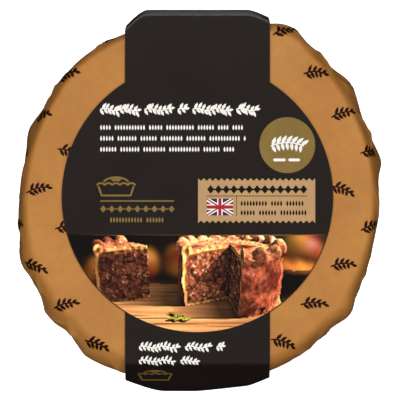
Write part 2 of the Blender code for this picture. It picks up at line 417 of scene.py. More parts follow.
wrap = new_tree("wrap_the_sheet", {
    "Section": "Object", "Folds": "Object", "Paper": "Material", "Around": "Int",
    "Rings": "Int", "Fold Count": "Int", "Side Radius": "Float", "Base Radius": "Float",
    "Tight Behind": "Float", "Top": "Float", "Foot": "Float", "Foot Rise": "Float",
    "Foot Share": "Float", "Slack": "Float", "Pleats": "Int", "Pleat Depth": "Float"})
given = add(wrap, "NodeGroupInput").outputs
columns = add(wrap, MATH, given["Around"], 1.0, operation="ADD")
grid = add(wrap, "GeometryNodeMeshGrid", 1.0, 1.0, columns, given["Rings"])
flat_place = add(wrap, "ShaderNodeSeparateXYZ", add(wrap, "GeometryNodeInputPosition")).outputs
share_round = add(wrap, MATH, flat_place["X"], 0.5, operation="ADD")
share_down = add(wrap, MATH, flat_place["Y"], 0.5, operation="ADD")
bearing = add(wrap, MATH, share_round, -360.0, operation="MULTIPLY")
last_ring = add(wrap, MATH, given["Rings"], 1.0, operation="SUBTRACT")
ring = add(wrap, MATH, add(wrap, MATH, share_down, last_ring, operation="MULTIPLY"),
           operation="ROUND")

section_points = add(wrap, "GeometryNodeObjectInfo", given["Section"]).outputs["Geometry"]
on_section = add(wrap, "ShaderNodeSeparateXYZ", add(
    wrap, SAMPLE, section_points, add(wrap, "GeometryNodeInputPosition"), ring,
    data_type="FLOAT_VECTOR")).outputs
height = on_section["Z"]
depth = add(wrap, MATH, given["Top"], height, operation="SUBTRACT")
turn = add(wrap, MATH, bearing, operation="RADIANS")
cosine = add(wrap, MATH, turn, operation="COSINE")
sine = add(wrap, MATH, turn, operation="SINE")
behind = add(wrap, RANGE, sine, -1.0, 1.0, 0.0, given["Tight Behind"])
room = add(wrap, MATH, given["Side Radius"], on_section["X"], operation="SUBTRACT")
far_out = add(wrap, MATH, add(wrap, MATH, on_section["X"], given["Side Radius"],
              operation="DIVIDE"), 2.0, operation="POWER")
upper = add(wrap, MATH, depth, given["Foot Rise"], operation="LESS_THAN")
pulled = add(wrap, MATH, add(wrap, MATH, behind, room, operation="MULTIPLY"), add(
    wrap, MATH, far_out, upper, operation="MULTIPLY"), operation="MULTIPLY")
radius = add(wrap, MATH, on_section["X"], pulled, operation="ADD")
along_plain = add(wrap, SAMPLE, section_points, add(wrap, ATTRIBUTE, "along"), ring)
along_paper = add(wrap, MATH, along_plain, pulled, operation="ADD")

fold_points = add(wrap, "GeometryNodeObjectInfo", given["Folds"]).outputs["Geometry"]
each_fold = add(wrap, "GeometryNodeRepeatInput")
folds_done = add(wrap, "GeometryNodeRepeatOutput")
each_fold.pair_with_output(folds_done)
folds_done.repeat_items.clear()
folds_done.repeat_items.new("FLOAT", "Push")
wrap.links.new(given["Fold Count"], each_fold.inputs["Iterations"])
fold = {field: add(wrap, SAMPLE, fold_points, add(wrap, ATTRIBUTE, field),
                   each_fold.outputs["Iteration"]) for field in FOLD_FIELDS}
leaning = add(wrap, MATH, fold["lean"], depth, fold["bearing"], operation="MULTIPLY_ADD")
apart = add(wrap, MATH, add(wrap, MATH, bearing, leaning, operation="SUBTRACT"), 180.0, -180.0,
            operation="WRAP")
is_before = add(wrap, MATH, apart, 0.0, operation="LESS_THAN")
width = add(wrap, "ShaderNodeMix", is_before, fold["after"], fold["before"])
falls = add(wrap, MATH, add(wrap, MATH, apart, width, operation="DIVIDE"), operation="COSH")
bump = add(wrap, MATH, fold["stand_off"], falls, operation="DIVIDE")
below = add(wrap, MATH, depth, fold["start"], operation="SUBTRACT")
opened = add(wrap, RANGE, below, 0.0, fold["opens"], interpolation_type="SMOOTHSTEP")
twice = add(wrap, MATH, fold["lasts"], 2.0, operation="MULTIPLY")
fading = add(wrap, RANGE, below, fold["lasts"], twice, 1.0, 0.0, interpolation_type="SMOOTHSTEP")
shown = add(wrap, MATH, opened, fading, operation="MULTIPLY")
total = add(wrap, MATH, bump, shown, each_fold.outputs["Push"], operation="MULTIPLY_ADD")
wrap.links.new(total.outputs[0], folds_done.inputs["Push"])

# %% Build the wrapping tree: foot, slack, pleats and the map of the flat sheet
foot_top = add(wrap, MATH, given["Foot"], given["Foot Rise"], operation="ADD")
foot_share = add(wrap, RANGE, height, given["Foot"], foot_top, given["Foot Share"], 1.0,
                 interpolation_type="SMOOTHSTEP")
outwards = add(wrap, RANGE, radius, 0.0, given["Base Radius"])
outwards_squared = add(wrap, MATH, outwards, 2.0, operation="POWER")
kept = add(wrap, MATH, foot_share, outwards_squared, operation="MULTIPLY")
push = add(wrap, MATH, folds_done.outputs["Push"], kept, operation="MULTIPLY")
reach = add(wrap, MATH, radius, push, operation="ADD")
folded = add(wrap, "ShaderNodeCombineXYZ", add(wrap, MATH, reach, cosine, operation="MULTIPLY"),
             add(wrap, MATH, reach, sine, operation="MULTIPLY"), height)

noise = add(wrap, "ShaderNodeTexNoise", folded, sockets={"Scale": 1 / 0.016, "Detail": 1.5})
centred = add(wrap, "ShaderNodeVectorMath", noise.outputs["Color"], (0.5, 0.5, 0.5),
              operation="SUBTRACT")
slack = add(wrap, "ShaderNodeVectorMath", centred, sockets={"Scale": given["Slack"]},
            operation="SCALE")
loose = add(wrap, "ShaderNodeVectorMath", folded, slack, operation="ADD")

swirl = add(wrap, MATH, outwards, 0.12, share_round, operation="MULTIPLY_ADD")
uneven = add(wrap, "ShaderNodeTexNoise", sockets={"W": swirl, "Scale": 9.0},
             noise_dimensions="1D")
count = add(wrap, MATH, swirl, given["Pleats"], add(
    wrap, MATH, uneven, 3.0, operation="MULTIPLY"), operation="MULTIPLY_ADD")
saw = add(wrap, MATH, count, operation="FRACT")
step_up = add(wrap, RANGE, saw, 0.0, 0.12, 1.0, 0.0)
overlap = add(wrap, MATH, saw, step_up, operation="MAXIMUM")
at_base = add(wrap, MATH, height, add(wrap, MATH, given["Foot"], 1e-6, operation="ADD"),
              operation="LESS_THAN")
pleated = add(wrap, RANGE, outwards, 0.25, 0.98, 1.0, 0.0, interpolation_type="SMOOTHSTEP")
lift = add(wrap, MATH, overlap, add(wrap, MATH, pleated, at_base, operation="MULTIPLY"),
           operation="MULTIPLY")
lift_up = add(wrap, MATH, lift, given["Pleat Depth"], operation="MULTIPLY")
draped = add(wrap, "ShaderNodeVectorMath", loose, add(
    wrap, "ShaderNodeCombineXYZ", 0.0, 0.0, lift_up), operation="ADD")

on_sheet = add(wrap, "ShaderNodeCombineXYZ", add(wrap, MATH, along_paper, cosine,
               operation="MULTIPLY"), add(wrap, MATH, along_paper, sine, operation="MULTIPLY"))
mapped = add(wrap, "GeometryNodeStoreNamedAttribute", grid, sockets={
    "Name": "sheet", "Value": on_sheet}, data_type="FLOAT2", domain="CORNER")
ridged = add(wrap, "GeometryNodeStoreNamedAttribute", mapped, sockets={
    "Name": "stand_off", "Value": push}, data_type="FLOAT", domain="POINT")
moved = add(wrap, "GeometryNodeSetPosition", ridged, sockets={"Position": draped})
closed = add(wrap, "GeometryNodeMergeByDistance", moved, sockets={"Distance": 2e-6})
smooth = add(wrap, "GeometryNodeSetShadeSmooth", closed)
whole = add(wrap, "GeometryNodeRealizeInstances", smooth)
add(wrap, "NodeGroupOutput", add(
    wrap, "GeometryNodeSetMaterial", whole, sockets={"Material": given["Paper"]}))
print("wrapping tree:", len(wrap.nodes), "nodes")

# %% Wrap the parcel
paper = new_finish("printed_greaseproof_paper", "#b07b42", 0.6, 0.15)
parcel = run_tree(wrap, "wrapped_parcel", {
    "Section": section_list, "Folds": fold_list, "Paper": paper, "Around": 640,
    "Rings": len(section), "Fold Count": len(folds), "Side Radius": PIE_RADIUS,
    "Base Radius": PIE_RADIUS - FOOT_IN, "Tight Behind": 0.7, "Top": PAPER_TOP,
    "Foot": PAPER_FOOT, "Foot Rise": FOOT_RISE, "Foot Share": 0.45, "Slack": 0.25 * MM,
    "Pleats": 44, "Pleat Depth": 0.7 * MM})
print("parcel:", len(parcel.data.polygons), "faces")

# %% [markdown]
# ## The path of the sleeve
#
# The strip of board runs over the top, down both ends and under the base, where its two ends
# overlap. The flat top ends in a straight fold in front, from where the board slopes down over the
# paper's shoulder to the front wall. The back fold is a sharp crease whose corners are cut, and
# both end walls belly out a little. The path below is that of the board's outer face.

# %% Say how far each end reaches
BAND_HALF = 22.6 * MM
FRONT_REACH = 60.2 * MM
BACK_REACH = 60.4 * MM
# the x where a bend starts, the side it lies on, the slope it adds, how softly it sets in
FRONT_BENDS = ((-10.5 * MM, -1, 0.44, 6.0 * MM), (-2.0 * MM, 1, 0.115, 2.0 * MM),
               (14.5 * MM, 1, 0.33, 1.5 * MM))
BACK_BENDS = ((-16.3 * MM, -1, 1.20, 4.0 * MM), (14.6 * MM, 1, 0.57, 4.0 * MM))
BACK_FLARE = 2.6 * MM
FRONT_FLARE = 0.4 * MM
FRONT_FOLD = 51.1 * MM              # where the flat top ends in front
FRONT_RUN = 1 / math.tan(math.radians(52.0))    # forward for each step down, from there
BELLY_HEIGHT = 34.0 * MM
FOOT_TUCK = 2.6 * MM
BOARD_MIDDLE = BOARD / 2


def lost_to_bends(x, bends):
    """How far the bends have taken an end in at x."""
    lost = 0.0
    for start, side, slope, softness in bends:
        beyond = max(side * (x - start), 0.0)
        lost += slope * (math.hypot(beyond, softness) - softness)
    return lost


def front_reach(x):
    """How far forward the middle of the board stands at x."""
    return FRONT_REACH - lost_to_bends(x, FRONT_BENDS)


def back_reach(x):
    """How far back the middle of the board stands at x."""
    return BACK_REACH - lost_to_bends(x, BACK_BENDS)


def wall_inset(height, flare):
    """How far an end wall stands in from its greatest reach at this height."""
    if height > BELLY_HEIGHT:
        return flare * (height - BELLY_HEIGHT) / (CARD_TOP - BOARD_MIDDLE - BELLY_HEIGHT)
    return FOOT_TUCK * (BELLY_HEIGHT - height) / (BELLY_HEIGHT - BOARD_MIDDLE)


def front_out(x, height):
    """How far forward the board stands at this height: the wall, or the slope above it."""
    wall = front_reach(x) - wall_inset(height, FRONT_FLARE)
    return min(wall, FRONT_FOLD + (CARD_TOP - BOARD_MIDDLE - height) * FRONT_RUN)


print(f"reach at the middle: front {front_reach(0) / MM:.1f} mm, back {back_reach(0) / MM:.1f} mm")

# %% [markdown]
# ## The paper under the end walls
#
# Where the band passes down its ends, the board holds the paper in, and beside the band the
# paper springs out again over a few millimetres. Each point of the parcel is kept inside that.

# %% Press the paper in
PRESS_ROOM = 0.95 * MM
PRESS_BESIDE = 2.5 * MM
PRESS_RELAX = 1.5

pressed_points = 0
for point in parcel.data.vertices:
    x, y, z = point.co
    beside = max(abs(x - BAND_X) - BAND_HALF - PRESS_BESIDE, 0.0)
    held_x = min(max(x, BAND_X - BAND_HALF), BAND_X + BAND_HALF)
    room = PRESS_ROOM - PRESS_RELAX * beside
    back = back_reach(held_x) - wall_inset(z, BACK_FLARE) - room
    front = front_out(held_x, z) - room
    held_y = min(max(y, -front), back)
    pressed_points += held_y != y
    point.co.y = held_y
parcel.data.update()
print("points held in by the board:", pressed_points)

# %% [markdown]
# ## The board of the sleeve
#
# The outer face is made as a grid of points, column by column along the path and row by row
# across it. On the round panel the rows spread out to the circle. Each point keeps its place on
# the flat, unfolded board as UV coordinates in metres: how far it lies from the middle line and
# how far along the board from the panel. Printing then works as it does in a factory: flat.

# %% Draw the sections
FOLD_ROUND = 2.0 * MM               # radius of the front fold
KNEE_ROUND = 7.0 * MM               # radius where the slope turns into the front wall
BACK_CREASE = 0.7 * MM
BELLY_ROUND = 40.0 * MM
FOOT_CREASE = 1.6 * MM
GLUE_LINE = 0.1 * MM
LAP_HALF = 8.0 * MM
LAP_RAMP = 10.0 * MM
LAP_HEIGHT = BOARD + GLUE_LINE


def rounded(before, corner, after, radius, steps):
    """Points of the arc that rounds a corner, from one tangent point to the other."""
    into = (corner - before).normalized()
    out = (after - corner).normalized()
    angle = into.angle_signed(out)
    start = corner - into * radius * math.tan(abs(angle) / 2)
    across = Vector((into.y, -into.x)) * math.copysign(radius, angle)
    return [start + across - Matrix.Rotation(-angle * step / steps, 2) @ across
            for step in range(steps + 1)]


def front_section(x):
    """(y, z) points of the outer face from the panel's front down, under, and onto the lap."""
    reach = front_reach(x) + BOARD_MIDDLE
    fold = FRONT_FOLD + 0.1 * MM
    lean = FRONT_FLARE / (CARD_TOP - BELLY_HEIGHT)
    knee_drop = (reach - FRONT_FLARE - fold) / (FRONT_RUN - lean)
    top = Vector((-fold, CARD_TOP))
    knee = Vector((-(fold + FRONT_RUN * knee_drop), CARD_TOP - knee_drop))
    belly = Vector((-reach, BELLY_HEIGHT))
    foot = Vector((-(reach - FOOT_TUCK), 0.0))
    ramp = Vector((-(LAP_HALF + LAP_RAMP), 0.0))
    lap = Vector((-(LAP_HALF + 1.0 * MM), LAP_HEIGHT))
    points = rounded(Vector((0.0, CARD_TOP)), top, knee, FOLD_ROUND, 8)
    points += [top.lerp(knee, share) for share in (0.3, 0.45, 0.6)]
    points += rounded(top, knee, belly, KNEE_ROUND, 10)
    points += [points[-1].lerp(belly, 0.5)]
    points += rounded(knee, belly, foot, BELLY_ROUND, 6)
    points += rounded(belly, foot, ramp, FOOT_CREASE, 8)
    points += [foot.lerp(ramp, 0.35), foot.lerp(ramp, 0.7), ramp]
    return points + [ramp.lerp(lap, 0.5), lap, Vector((LAP_HALF, LAP_HEIGHT))]


def back_section(x):
    """(y, z) points of the outer face from the panel's back down, and under to the outer end."""
    reach = back_reach(x) + BOARD_MIDDLE
    top = Vector((reach - BACK_FLARE, CARD_TOP))
    belly = Vector((reach, BELLY_HEIGHT))
    foot = Vector((reach - FOOT_TUCK, 0.0))
    end = Vector((-LAP_HALF, 0.0))
    points = rounded(Vector((0.0, CARD_TOP)), top, belly, BACK_CREASE, 8)
    points += [points[-1].lerp(belly, share) for share in (0.08, 0.4)]
    points += rounded(top, belly, foot, BELLY_ROUND, 6)
    points += rounded(belly, foot, end, FOOT_CREASE, 8)
    return points + [foot.lerp(end, share) for share in (0.2, 0.4, 0.6, 0.8, 1.0)]


print("points in a section:", len(front_section(0.0)), "front,", len(back_section(0.0)), "back")

# %% Lay out the rows of the board
EDGE_SHARES = (0.006, 0.016, 0.030)
across = sorted({round(-1 + step / 24, 4) for step in range(49)}
                | {side * (1 - share) for share in EDGE_SHARES for side in (-1, 1)})
joins = math.acos(BAND_HALF / PANEL_RADIUS)


def end_rows(section):
    """Rows of (place, flat place) down one end of the band; the first is next to the panel."""
    columns = [section(BAND_X + BAND_HALF * share) for share in across]
    rows = []
    gone = [abs(column[0].x) for column in columns]
    for index in range(len(columns[0])):
        row = []
        for number, (share, column) in enumerate(zip(across, columns)):
            if index:
                gone[number] += (column[index] - column[index - 1]).length
            x = BAND_X + BAND_HALF * share
            side = math.copysign(1.0, column[0].x)
            row.append(((x, *column[index]), (x, side * gone[number])))
        rows.append(row)
    return rows


def panel_rows(count):
    """Rows across the round panel, from its front to its back."""
    rows = []
    for step in range(count + 1):
        swing = -joins + 2 * joins * step / count
        y = PANEL_Y + PANEL_RADIUS * math.sin(swing)
        half = PANEL_RADIUS * math.cos(swing)
        xs = [BAND_X + half * share for share in across]
        rows.append([((x, y, CARD_TOP), (x, y)) for x in xs])
    return rows


rows = end_rows(front_section)[::-1] + panel_rows(84) + end_rows(back_section)
print("rows:", len(rows), "of", len(across))

# %% Make the outer face
def sheet_from_rows(name, rows):
    """A mesh of quads between rows of (place, flat place), with the flat place as its UV map."""
    wide = len(rows[0])
    corners = [(r * wide + c, r * wide + c + 1, (r + 1) * wide + c + 1, (r + 1) * wide + c)
               for r in range(len(rows) - 1) for c in range(wide - 1)]
    mesh = bpy.data.meshes.new(name)
    mesh.from_pydata([place for row in rows for place, _ in row], [], corners)
    flat = [flat_place for row in rows for _, flat_place in row]
    uv = mesh.uv_layers.new(name="sheet")
    for loop in mesh.loops:
        uv.data[loop.index].uv = flat[loop.vertex_index]
    mesh.shade_smooth()
    thing = bpy.data.objects.new(name, mesh)
    bpy.context.scene.collection.objects.link(thing)
    return thing


sleeve = sheet_from_rows("card_sleeve_board", rows)
from_cut = []
from_fold = []
for place, flat_place in (entry for row in rows for entry in row):
    x, y, z = place
    if abs(flat_place[1] - PANEL_Y) < PANEL_RADIUS * math.sin(joins):
        half = math.sqrt(max(PANEL_RADIUS ** 2 - (flat_place[1] - PANEL_Y) ** 2, 0.0))
    else:
        half = BAND_HALF
    from_cut.append(max(half - abs(x - BAND_X), 0.0))
    # How far each point lies from the back crease and the foot creases, where the board's colour gets
    # a painted highlight with a little wear
    to_top = math.hypot(CARD_TOP - 0.45 * MM - z, y - back_reach(x) + BACK_FLARE + 0.1 * MM)
    to_foot = math.hypot(z, max(back_reach(x) if y > 0 else front_reach(x), 0) - FOOT_TUCK - abs(y))
    from_fold.append(min(to_top, to_foot))
for name, values in (("from_cut", from_cut), ("from_fold", from_fold)):
    sleeve.data.attributes.new(name, "FLOAT", "POINT").data.foreach_set("value", values)
normals = [polygon.normal.z for polygon in sleeve.data.polygons if polygon.center.z > CARD_TOP - MM]
print("board:", len(sleeve.data.polygons), "faces; its top faces up:", min(normals) > 0)

# %% [markdown]
# ## Geometry Nodes: lay ink on a sheet
#
# Every print is drawn flat, at its place on the unfolded board or paper, and one tree wraps it.
# It stamps a shape on a list of places, finds where each point of the shape falls on the sheet's
# flat map, and moves it to that place on the folded sheet, a few hundredths of a millimetre
# proud. What falls beside the sheet is removed. On the paper the marks are first widened as much
# as the sheet is gathered there, because real gathers hide paper between the folds and leave a
# mark its true width.

# %% Build the printing tree
lay = new_tree("lay_ink_on_a_sheet", {
    "Shape": "Object", "Places": "Object", "Sheet": "Object", "Ink": "Material",
    "Proud": "Float"})
given = add(lay, "NodeGroupInput").outputs
stamp = add(lay, "GeometryNodeObjectInfo", given["Shape"]).outputs["Geometry"]
places = add(lay, "GeometryNodeObjectInfo", given["Places"]).outputs["Geometry"]
sheet = add(lay, "GeometryNodeObjectInfo", given["Sheet"]).outputs["Geometry"]
turned = add(lay, "ShaderNodeCombineXYZ", 0.0, 0.0, add(lay, ATTRIBUTE, "turn"))
sized = add(lay, ATTRIBUTE, "size")
stamped = add(lay, "GeometryNodeInstanceOnPoints", places, sockets={
    "Instance": stamp, "Rotation": turned, "Scale": sized})
centred = add(lay, "GeometryNodeStoreNamedAttribute", stamped, sockets={
    "Name": "centre", "Value": add(lay, "GeometryNodeInputPosition")},
    data_type="FLOAT_VECTOR", domain="INSTANCE")
real = add(lay, "GeometryNodeRealizeInstances", centred)

here = add(lay, "GeometryNodeInputPosition")
centre = add(lay, ATTRIBUTE, "centre", data_type="FLOAT_VECTOR")
offset = add(lay, "ShaderNodeVectorMath", here, centre, operation="SUBTRACT")
outward = add(lay, "ShaderNodeVectorMath", centre, operation="NORMALIZE")
sideways = add(lay, "ShaderNodeVectorMath", (0.0, 0.0, 1.0), outward,
               operation="CROSS_PRODUCT")
part_out = add(lay, "ShaderNodeVectorMath", offset, outward, operation="DOT_PRODUCT")
part_side = add(lay, "ShaderNodeVectorMath", offset, sideways, operation="DOT_PRODUCT")
widened = add(lay, MATH, part_side.outputs["Value"], add(lay, ATTRIBUTE, "gathered"),
              operation="MULTIPLY")
out_again = add(lay, "ShaderNodeVectorMath", outward, sockets={
    "Scale": part_out.outputs["Value"]}, operation="SCALE")
side_again = add(lay, "ShaderNodeVectorMath", sideways, sockets={"Scale": widened},
                 operation="SCALE")
spread = add(lay, "ShaderNodeVectorMath", centre, out_again, operation="ADD")
on_flat = add(lay, "ShaderNodeVectorMath", spread, side_again, operation="ADD")

flat_map = add(lay, ATTRIBUTE, "sheet", data_type="FLOAT_VECTOR")
landing = add(lay, "GeometryNodeSampleUVSurface", sheet, add(lay, "GeometryNodeInputPosition"),
              flat_map, on_flat, data_type="FLOAT_VECTOR")
facing = add(lay, "GeometryNodeSampleUVSurface", sheet, add(lay, "GeometryNodeInputNormal"),
             flat_map, on_flat, data_type="FLOAT_VECTOR")
own_rise = add(lay, "ShaderNodeSeparateXYZ", here).outputs["Z"]
rise = add(lay, MATH, given["Proud"], own_rise, operation="ADD")
proud = add(lay, "ShaderNodeVectorMath", facing, sockets={"Scale": rise}, operation="SCALE")
landed = add(lay, "ShaderNodeVectorMath", landing, proud, operation="ADD")
beside = add(lay, "FunctionNodeBooleanMath", landing.outputs["Is Valid"], operation="NOT")
noted = add(lay, "GeometryNodeStoreNamedAttribute", real, sockets={
    "Name": "beside", "Value": beside}, data_type="BOOLEAN", domain="POINT")
noted_normal = add(lay, "GeometryNodeStoreNamedAttribute", noted, sockets={
    "Name": "landing", "Value": landed}, data_type="FLOAT_VECTOR", domain="POINT")
kept = add(lay, "GeometryNodeDeleteGeometry", noted_normal, add(
    lay, ATTRIBUTE, "beside", data_type="BOOLEAN"))
wrapped = add(lay, "GeometryNodeSetPosition", kept, sockets={
    "Position": add(lay, ATTRIBUTE, "landing", data_type="FLOAT_VECTOR")})
smooth = add(lay, "GeometryNodeSetShadeSmooth", wrapped)
whole = add(lay, "GeometryNodeRealizeInstances", smooth)
add(lay, "NodeGroupOutput", add(
    lay, "GeometryNodeSetMaterial", whole, sockets={"Material": given["Ink"]}))
print("printing tree:", len(lay.nodes), "nodes")

# %% [markdown]
# ## Drawing flat shapes
#
# Ink shapes are flat polygons in millimetres: bars with round ends, leaves, discs and pen
# strokes cut into short pieces, so that they can bend. One function collects them in a mesh.

# %% Draw strokes, bars, leaves and discs
def stroke(points, width, closed=False):
    """A pen line through these points, as short quads."""
    fine = []
    ends = points[1:] + points[:1] if closed else points[1:]
    for start, stop in zip(points, ends):
        cuts = max(int(math.dist(start, stop) / 0.7), 1)
        fine += [(start[0] + (stop[0] - start[0]) * i / cuts,
                  start[1] + (stop[1] - start[1]) * i / cuts) for i in range(cuts)]
    fine.append(ends[-1])
    sides = []
    for index, (x, y) in enumerate(fine):
        back = fine[max(index - 1, 0)] if not closed else fine[index - 1 if index else -2]
        ahead = fine[min(index + 1, len(fine) - 1)] if not closed else fine[(index + 1) % len(fine)]
        if closed and index == len(fine) - 1:
            ahead = fine[1]
        along = Vector((ahead[0] - back[0], ahead[1] - back[1])).normalized() * width / 2
        sides.append(((x - along.y, y + along.x), (x + along.y, y - along.x)))
    return [(b[0], b[1], a[1], a[0]) for a, b in zip(sides, sides[1:])]


def arc(x, y, radius, start, stop, steps, flat=1.0):
    """Points of an arc in degrees; `flat` squashes it in height."""
    return [(x + radius * math.cos(math.radians(start + (stop - start) * i / steps)),
             y + radius * flat * math.sin(math.radians(start + (stop - start) * i / steps)))
            for i in range(steps + 1)]


def disc(x, y, radius, steps=14):
    return [arc(x, y, radius, 0, 360, steps)[:-1]]


def bar(x, y, length, height):
    """A bar with round ends, from its left end at mid height."""
    r = height / 2
    return [arc(x + r, y, r, 90, 270, 4) + arc(x + max(length - r, r), y, r, -90, 90, 4)]


def leaf(x, y, length, width, angle):
    """A pointed leaf from its foot, as a strip of quads and two tips."""
    widths = (0.0, 0.86, 1.0, 0.66, 0.0)
    cos, sin = math.cos(math.radians(angle)), math.sin(math.radians(angle))
    top, low = [], []
    for index, share in enumerate(widths):
        u = length * index / (len(widths) - 1)
        v = width / 2 * share
        top.append((x + u * cos - v * sin, y + u * sin + v * cos))
        low.append((x + u * cos + v * sin, y + u * sin - v * cos))
    strip = [(low[i], low[i + 1], top[i + 1], top[i]) for i in range(1, len(top) - 2)]
    return strip + [(top[0], low[1], top[1]), (top[-2], low[-2], top[-1])]


def move(polygons, x, y, scale=1.0):
    return [[(px * scale + x, py * scale + y) for px, py in polygon] for polygon in polygons]


def stacked(polygons, rise=0.0004):
    """Polygons as (places, faces), each a hair higher than the one before."""
    places = []
    faces = []
    for index, polygon in enumerate(polygons):
        faces.append(list(range(len(places), len(places) + len(polygon))))
        places += [(x, y, index * rise) for x, y in polygon]
    return places, faces


def joined(polygons, extra=()):
    """Triangles, as (places, faces), of the area that the polygons cover together."""
    places = []
    faces = []
    for polygon in polygons:
        area = sum(a[0] * b[1] - b[0] * a[1] for a, b in zip(polygon, polygon[1:] + polygon[:1]))
        faces.append(list(range(len(places), len(places) + len(polygon))))
        places += [Vector(place) for place in (polygon if area > 0 else polygon[::-1])]
    places += [Vector(place) for place in extra]
    made = delaunay_2d_cdt(places, [], faces, 1, 1e-5)
    return [(place.x, place.y, 0.0) for place in made[0]], made[2]


def flat_object(name, drawn):
    """A mesh object of (places, faces) given in millimetres."""
    places, faces = drawn
    mesh = bpy.data.meshes.new(name)
    mesh.from_pydata([(x * MM, y * MM, z * MM) for x, y, z in places], [], faces)
    thing = bpy.data.objects.new(name, mesh)
    bpy.context.scene.collection.objects.link(thing)
    return thing


print("a leaf has", len(leaf(0, 0, 2, 1, 0)), "faces")

# %% [markdown]
# ## The marks on the paper
#
# The greaseproof sheet is printed all over with one small mark, a herb sprig, in rows that are
# staggered by half a step. The sheet was printed flat before it was wrapped, so the rows run
# straight on over the shoulder and down the folds.

# %% Draw the sprig
def sprig():
    """A herb sprig about 8 mm long, lying along x, with its middle at the origin."""
    stem = arc(0.0, -8.9, 9.4, 112, 70, 9)
    shapes = stroke(stem, 0.46)
    for index, (x, y) in enumerate(stem[1:-1]):
        lean = 40 - 6 * index
        length = 2.75 - 0.16 * index
        shapes += leaf(x, y, length, 0.98, lean + 26 if index % 2 else lean - 80)
    return shapes + leaf(stem[-1][0] - 0.2, stem[-1][1], 1.9, 0.95, -20)


mark_shape = flat_object("herb_sprig", stacked(sprig()))
print("a sprig has", len(mark_shape.data.polygons), "faces")

# %% Spread the sprigs over the flat sheet
def paper_radius(distance):
    """The parcel's radius, this far along the paper from its middle."""
    return float(np.interp(distance, along, [r for r, _ in section]))


MARK_PITCH = (18.9, 11.7)
MARK_TILTS = (14.0, -20.0, 4.0)
MARK_LIMIT = 2.6
mark_places = []
mark_turns = []
mark_gathers = []
for row in range(-14, 15):
    for column in range(-9, 10):
        x = (column + (0.5 if row % 2 else 0.0)) * MARK_PITCH[0] + 6.2
        y = row * MARK_PITCH[1] + 3.2
        distance = math.hypot(x, y) * MM
        local = paper_radius(distance)
        hidden = abs(x * MM - BAND_X) < BAND_HALF - MM / 2 or distance < PANEL_RADIUS - MM / 2
        if not hidden and local > 4 * MM and distance / local < MARK_LIMIT:
            mark_places.append((x * MM, y * MM, 0.0))
            mark_turns.append(math.radians(MARK_TILTS[(row + 2 * column) % 3]))
            mark_gathers.append(distance / local)
mark_list = list_object("sprig_places", mark_places, {
    "turn": mark_turns, "size": [1.0] * len(mark_places), "gathered": mark_gathers})
brown_ink = new_finish("dark_brown_printing_ink", "#260d06", 0.6, 0.06)
marks = run_tree(lay, "sprig_marks", {
    "Shape": mark_shape, "Places": mark_list, "Sheet": parcel, "Ink": brown_ink,
    "Proud": 0.13 * MM})
print("sprigs:", len(mark_places), "faces:", len(marks.data.polygons))

# %% [markdown]
# ## The prints on the board
#
# The round panel and the band carry white, gold, tan and dark inks on black. Their layout is that
# of a food pack without any words: leaf garlands stand where a title would be, short bars where
# small print would be, and a little pie is drawn in gold line. All places are millimetres from
# the middle of the round panel, on the unfolded board.

# %% Draw garlands, rows of seeds, bars and beads
def garland(x, y, length, height, seed):
    """A wavy stem with leaves above and below it."""
    picker = random.Random(seed)
    steps = max(round(length / 0.62), 4)
    stem = [(x + length * i / steps,
             y + 0.10 * height * math.sin(math.pi * i / 5)) for i in range(steps + 1)]
    shapes = stroke(stem, 0.40)
    for index, (px, py) in enumerate(stem[:-1]):
        size = height * picker.uniform(0.46, 0.60)
        up = 1 if index % 2 else -1
        shapes += leaf(px, py, size, 0.24 * height, up * picker.uniform(46, 64))
    return shapes + leaf(stem[-1][0] - 0.3, stem[-1][1], height * 0.40, height * 0.22, 8)


def seeds(x, y, length, height, seed):
    """A line of even, upright seeds in groups, like tally marks."""
    picker = random.Random(seed)
    pitch = height * 0.52
    shapes = []
    at = x
    while at < x + length:
        for _ in range(picker.randint(4, 11)):
            if at < x + length:
                shapes += leaf(at, y - height / 2, height, height * 0.36, 90)
                at += pitch
        at += pitch * 1.1
    return shapes


def bars(x, y, length, height, gap, seed):
    """A line of bars of uneven lengths."""
    picker = random.Random(seed)
    shapes = []
    at = x
    while at < x + length - 1.0:
        size = min(picker.uniform(2.0, 7.5) * height / 1.1, x + length - at)
        shapes += bar(at, y, size, height)
        at += size + gap
    return shapes


def diamond(x, y, wide, high):
    return [[(x - wide / 2, y), (x, y - high / 2), (x + wide / 2, y), (x, y + high / 2)]]


def beads(x, y, length, count, wide, high):
    """A row of diamonds with a dot between each two."""
    shapes = []
    for index in range(count):
        at = x + wide / 2 + (length - wide) * index / (count - 1)
        shapes += diamond(at, y, wide, high)
        if index:
            shapes += disc(at - (length - wide) / (count - 1) / 2, y, wide * 0.15, 8)
    return shapes


print("a garland of 12 mm has", len(garland(0, 0, 12, 4, 1)), "faces")

# %% Draw the little pie, the white print and the gold print
def little_pie(pen):
    """A raised pie in line, 11 mm wide and 6 mm high, with its left foot at the origin."""
    shapes = stroke([(0.4, 3.1), (1.3, 0.3), (10.2, 0.3), (11.1, 3.1)], pen)
    for index in range(5):
        shapes += stroke(arc(1.1 + 2.33 * index, 3.35, 1.17, 180, 0, 6, 0.62), pen)
    shapes += stroke(arc(5.75, 3.9, 3.9, 165, 15, 14, 0.50), pen)
    return shapes + disc(5.75, 5.1, 0.45, 8) + leaf(5.9, 4.7, 1.7, 0.8, 24) + leaf(
        5.6, 4.7, 1.7, 0.8, 156)


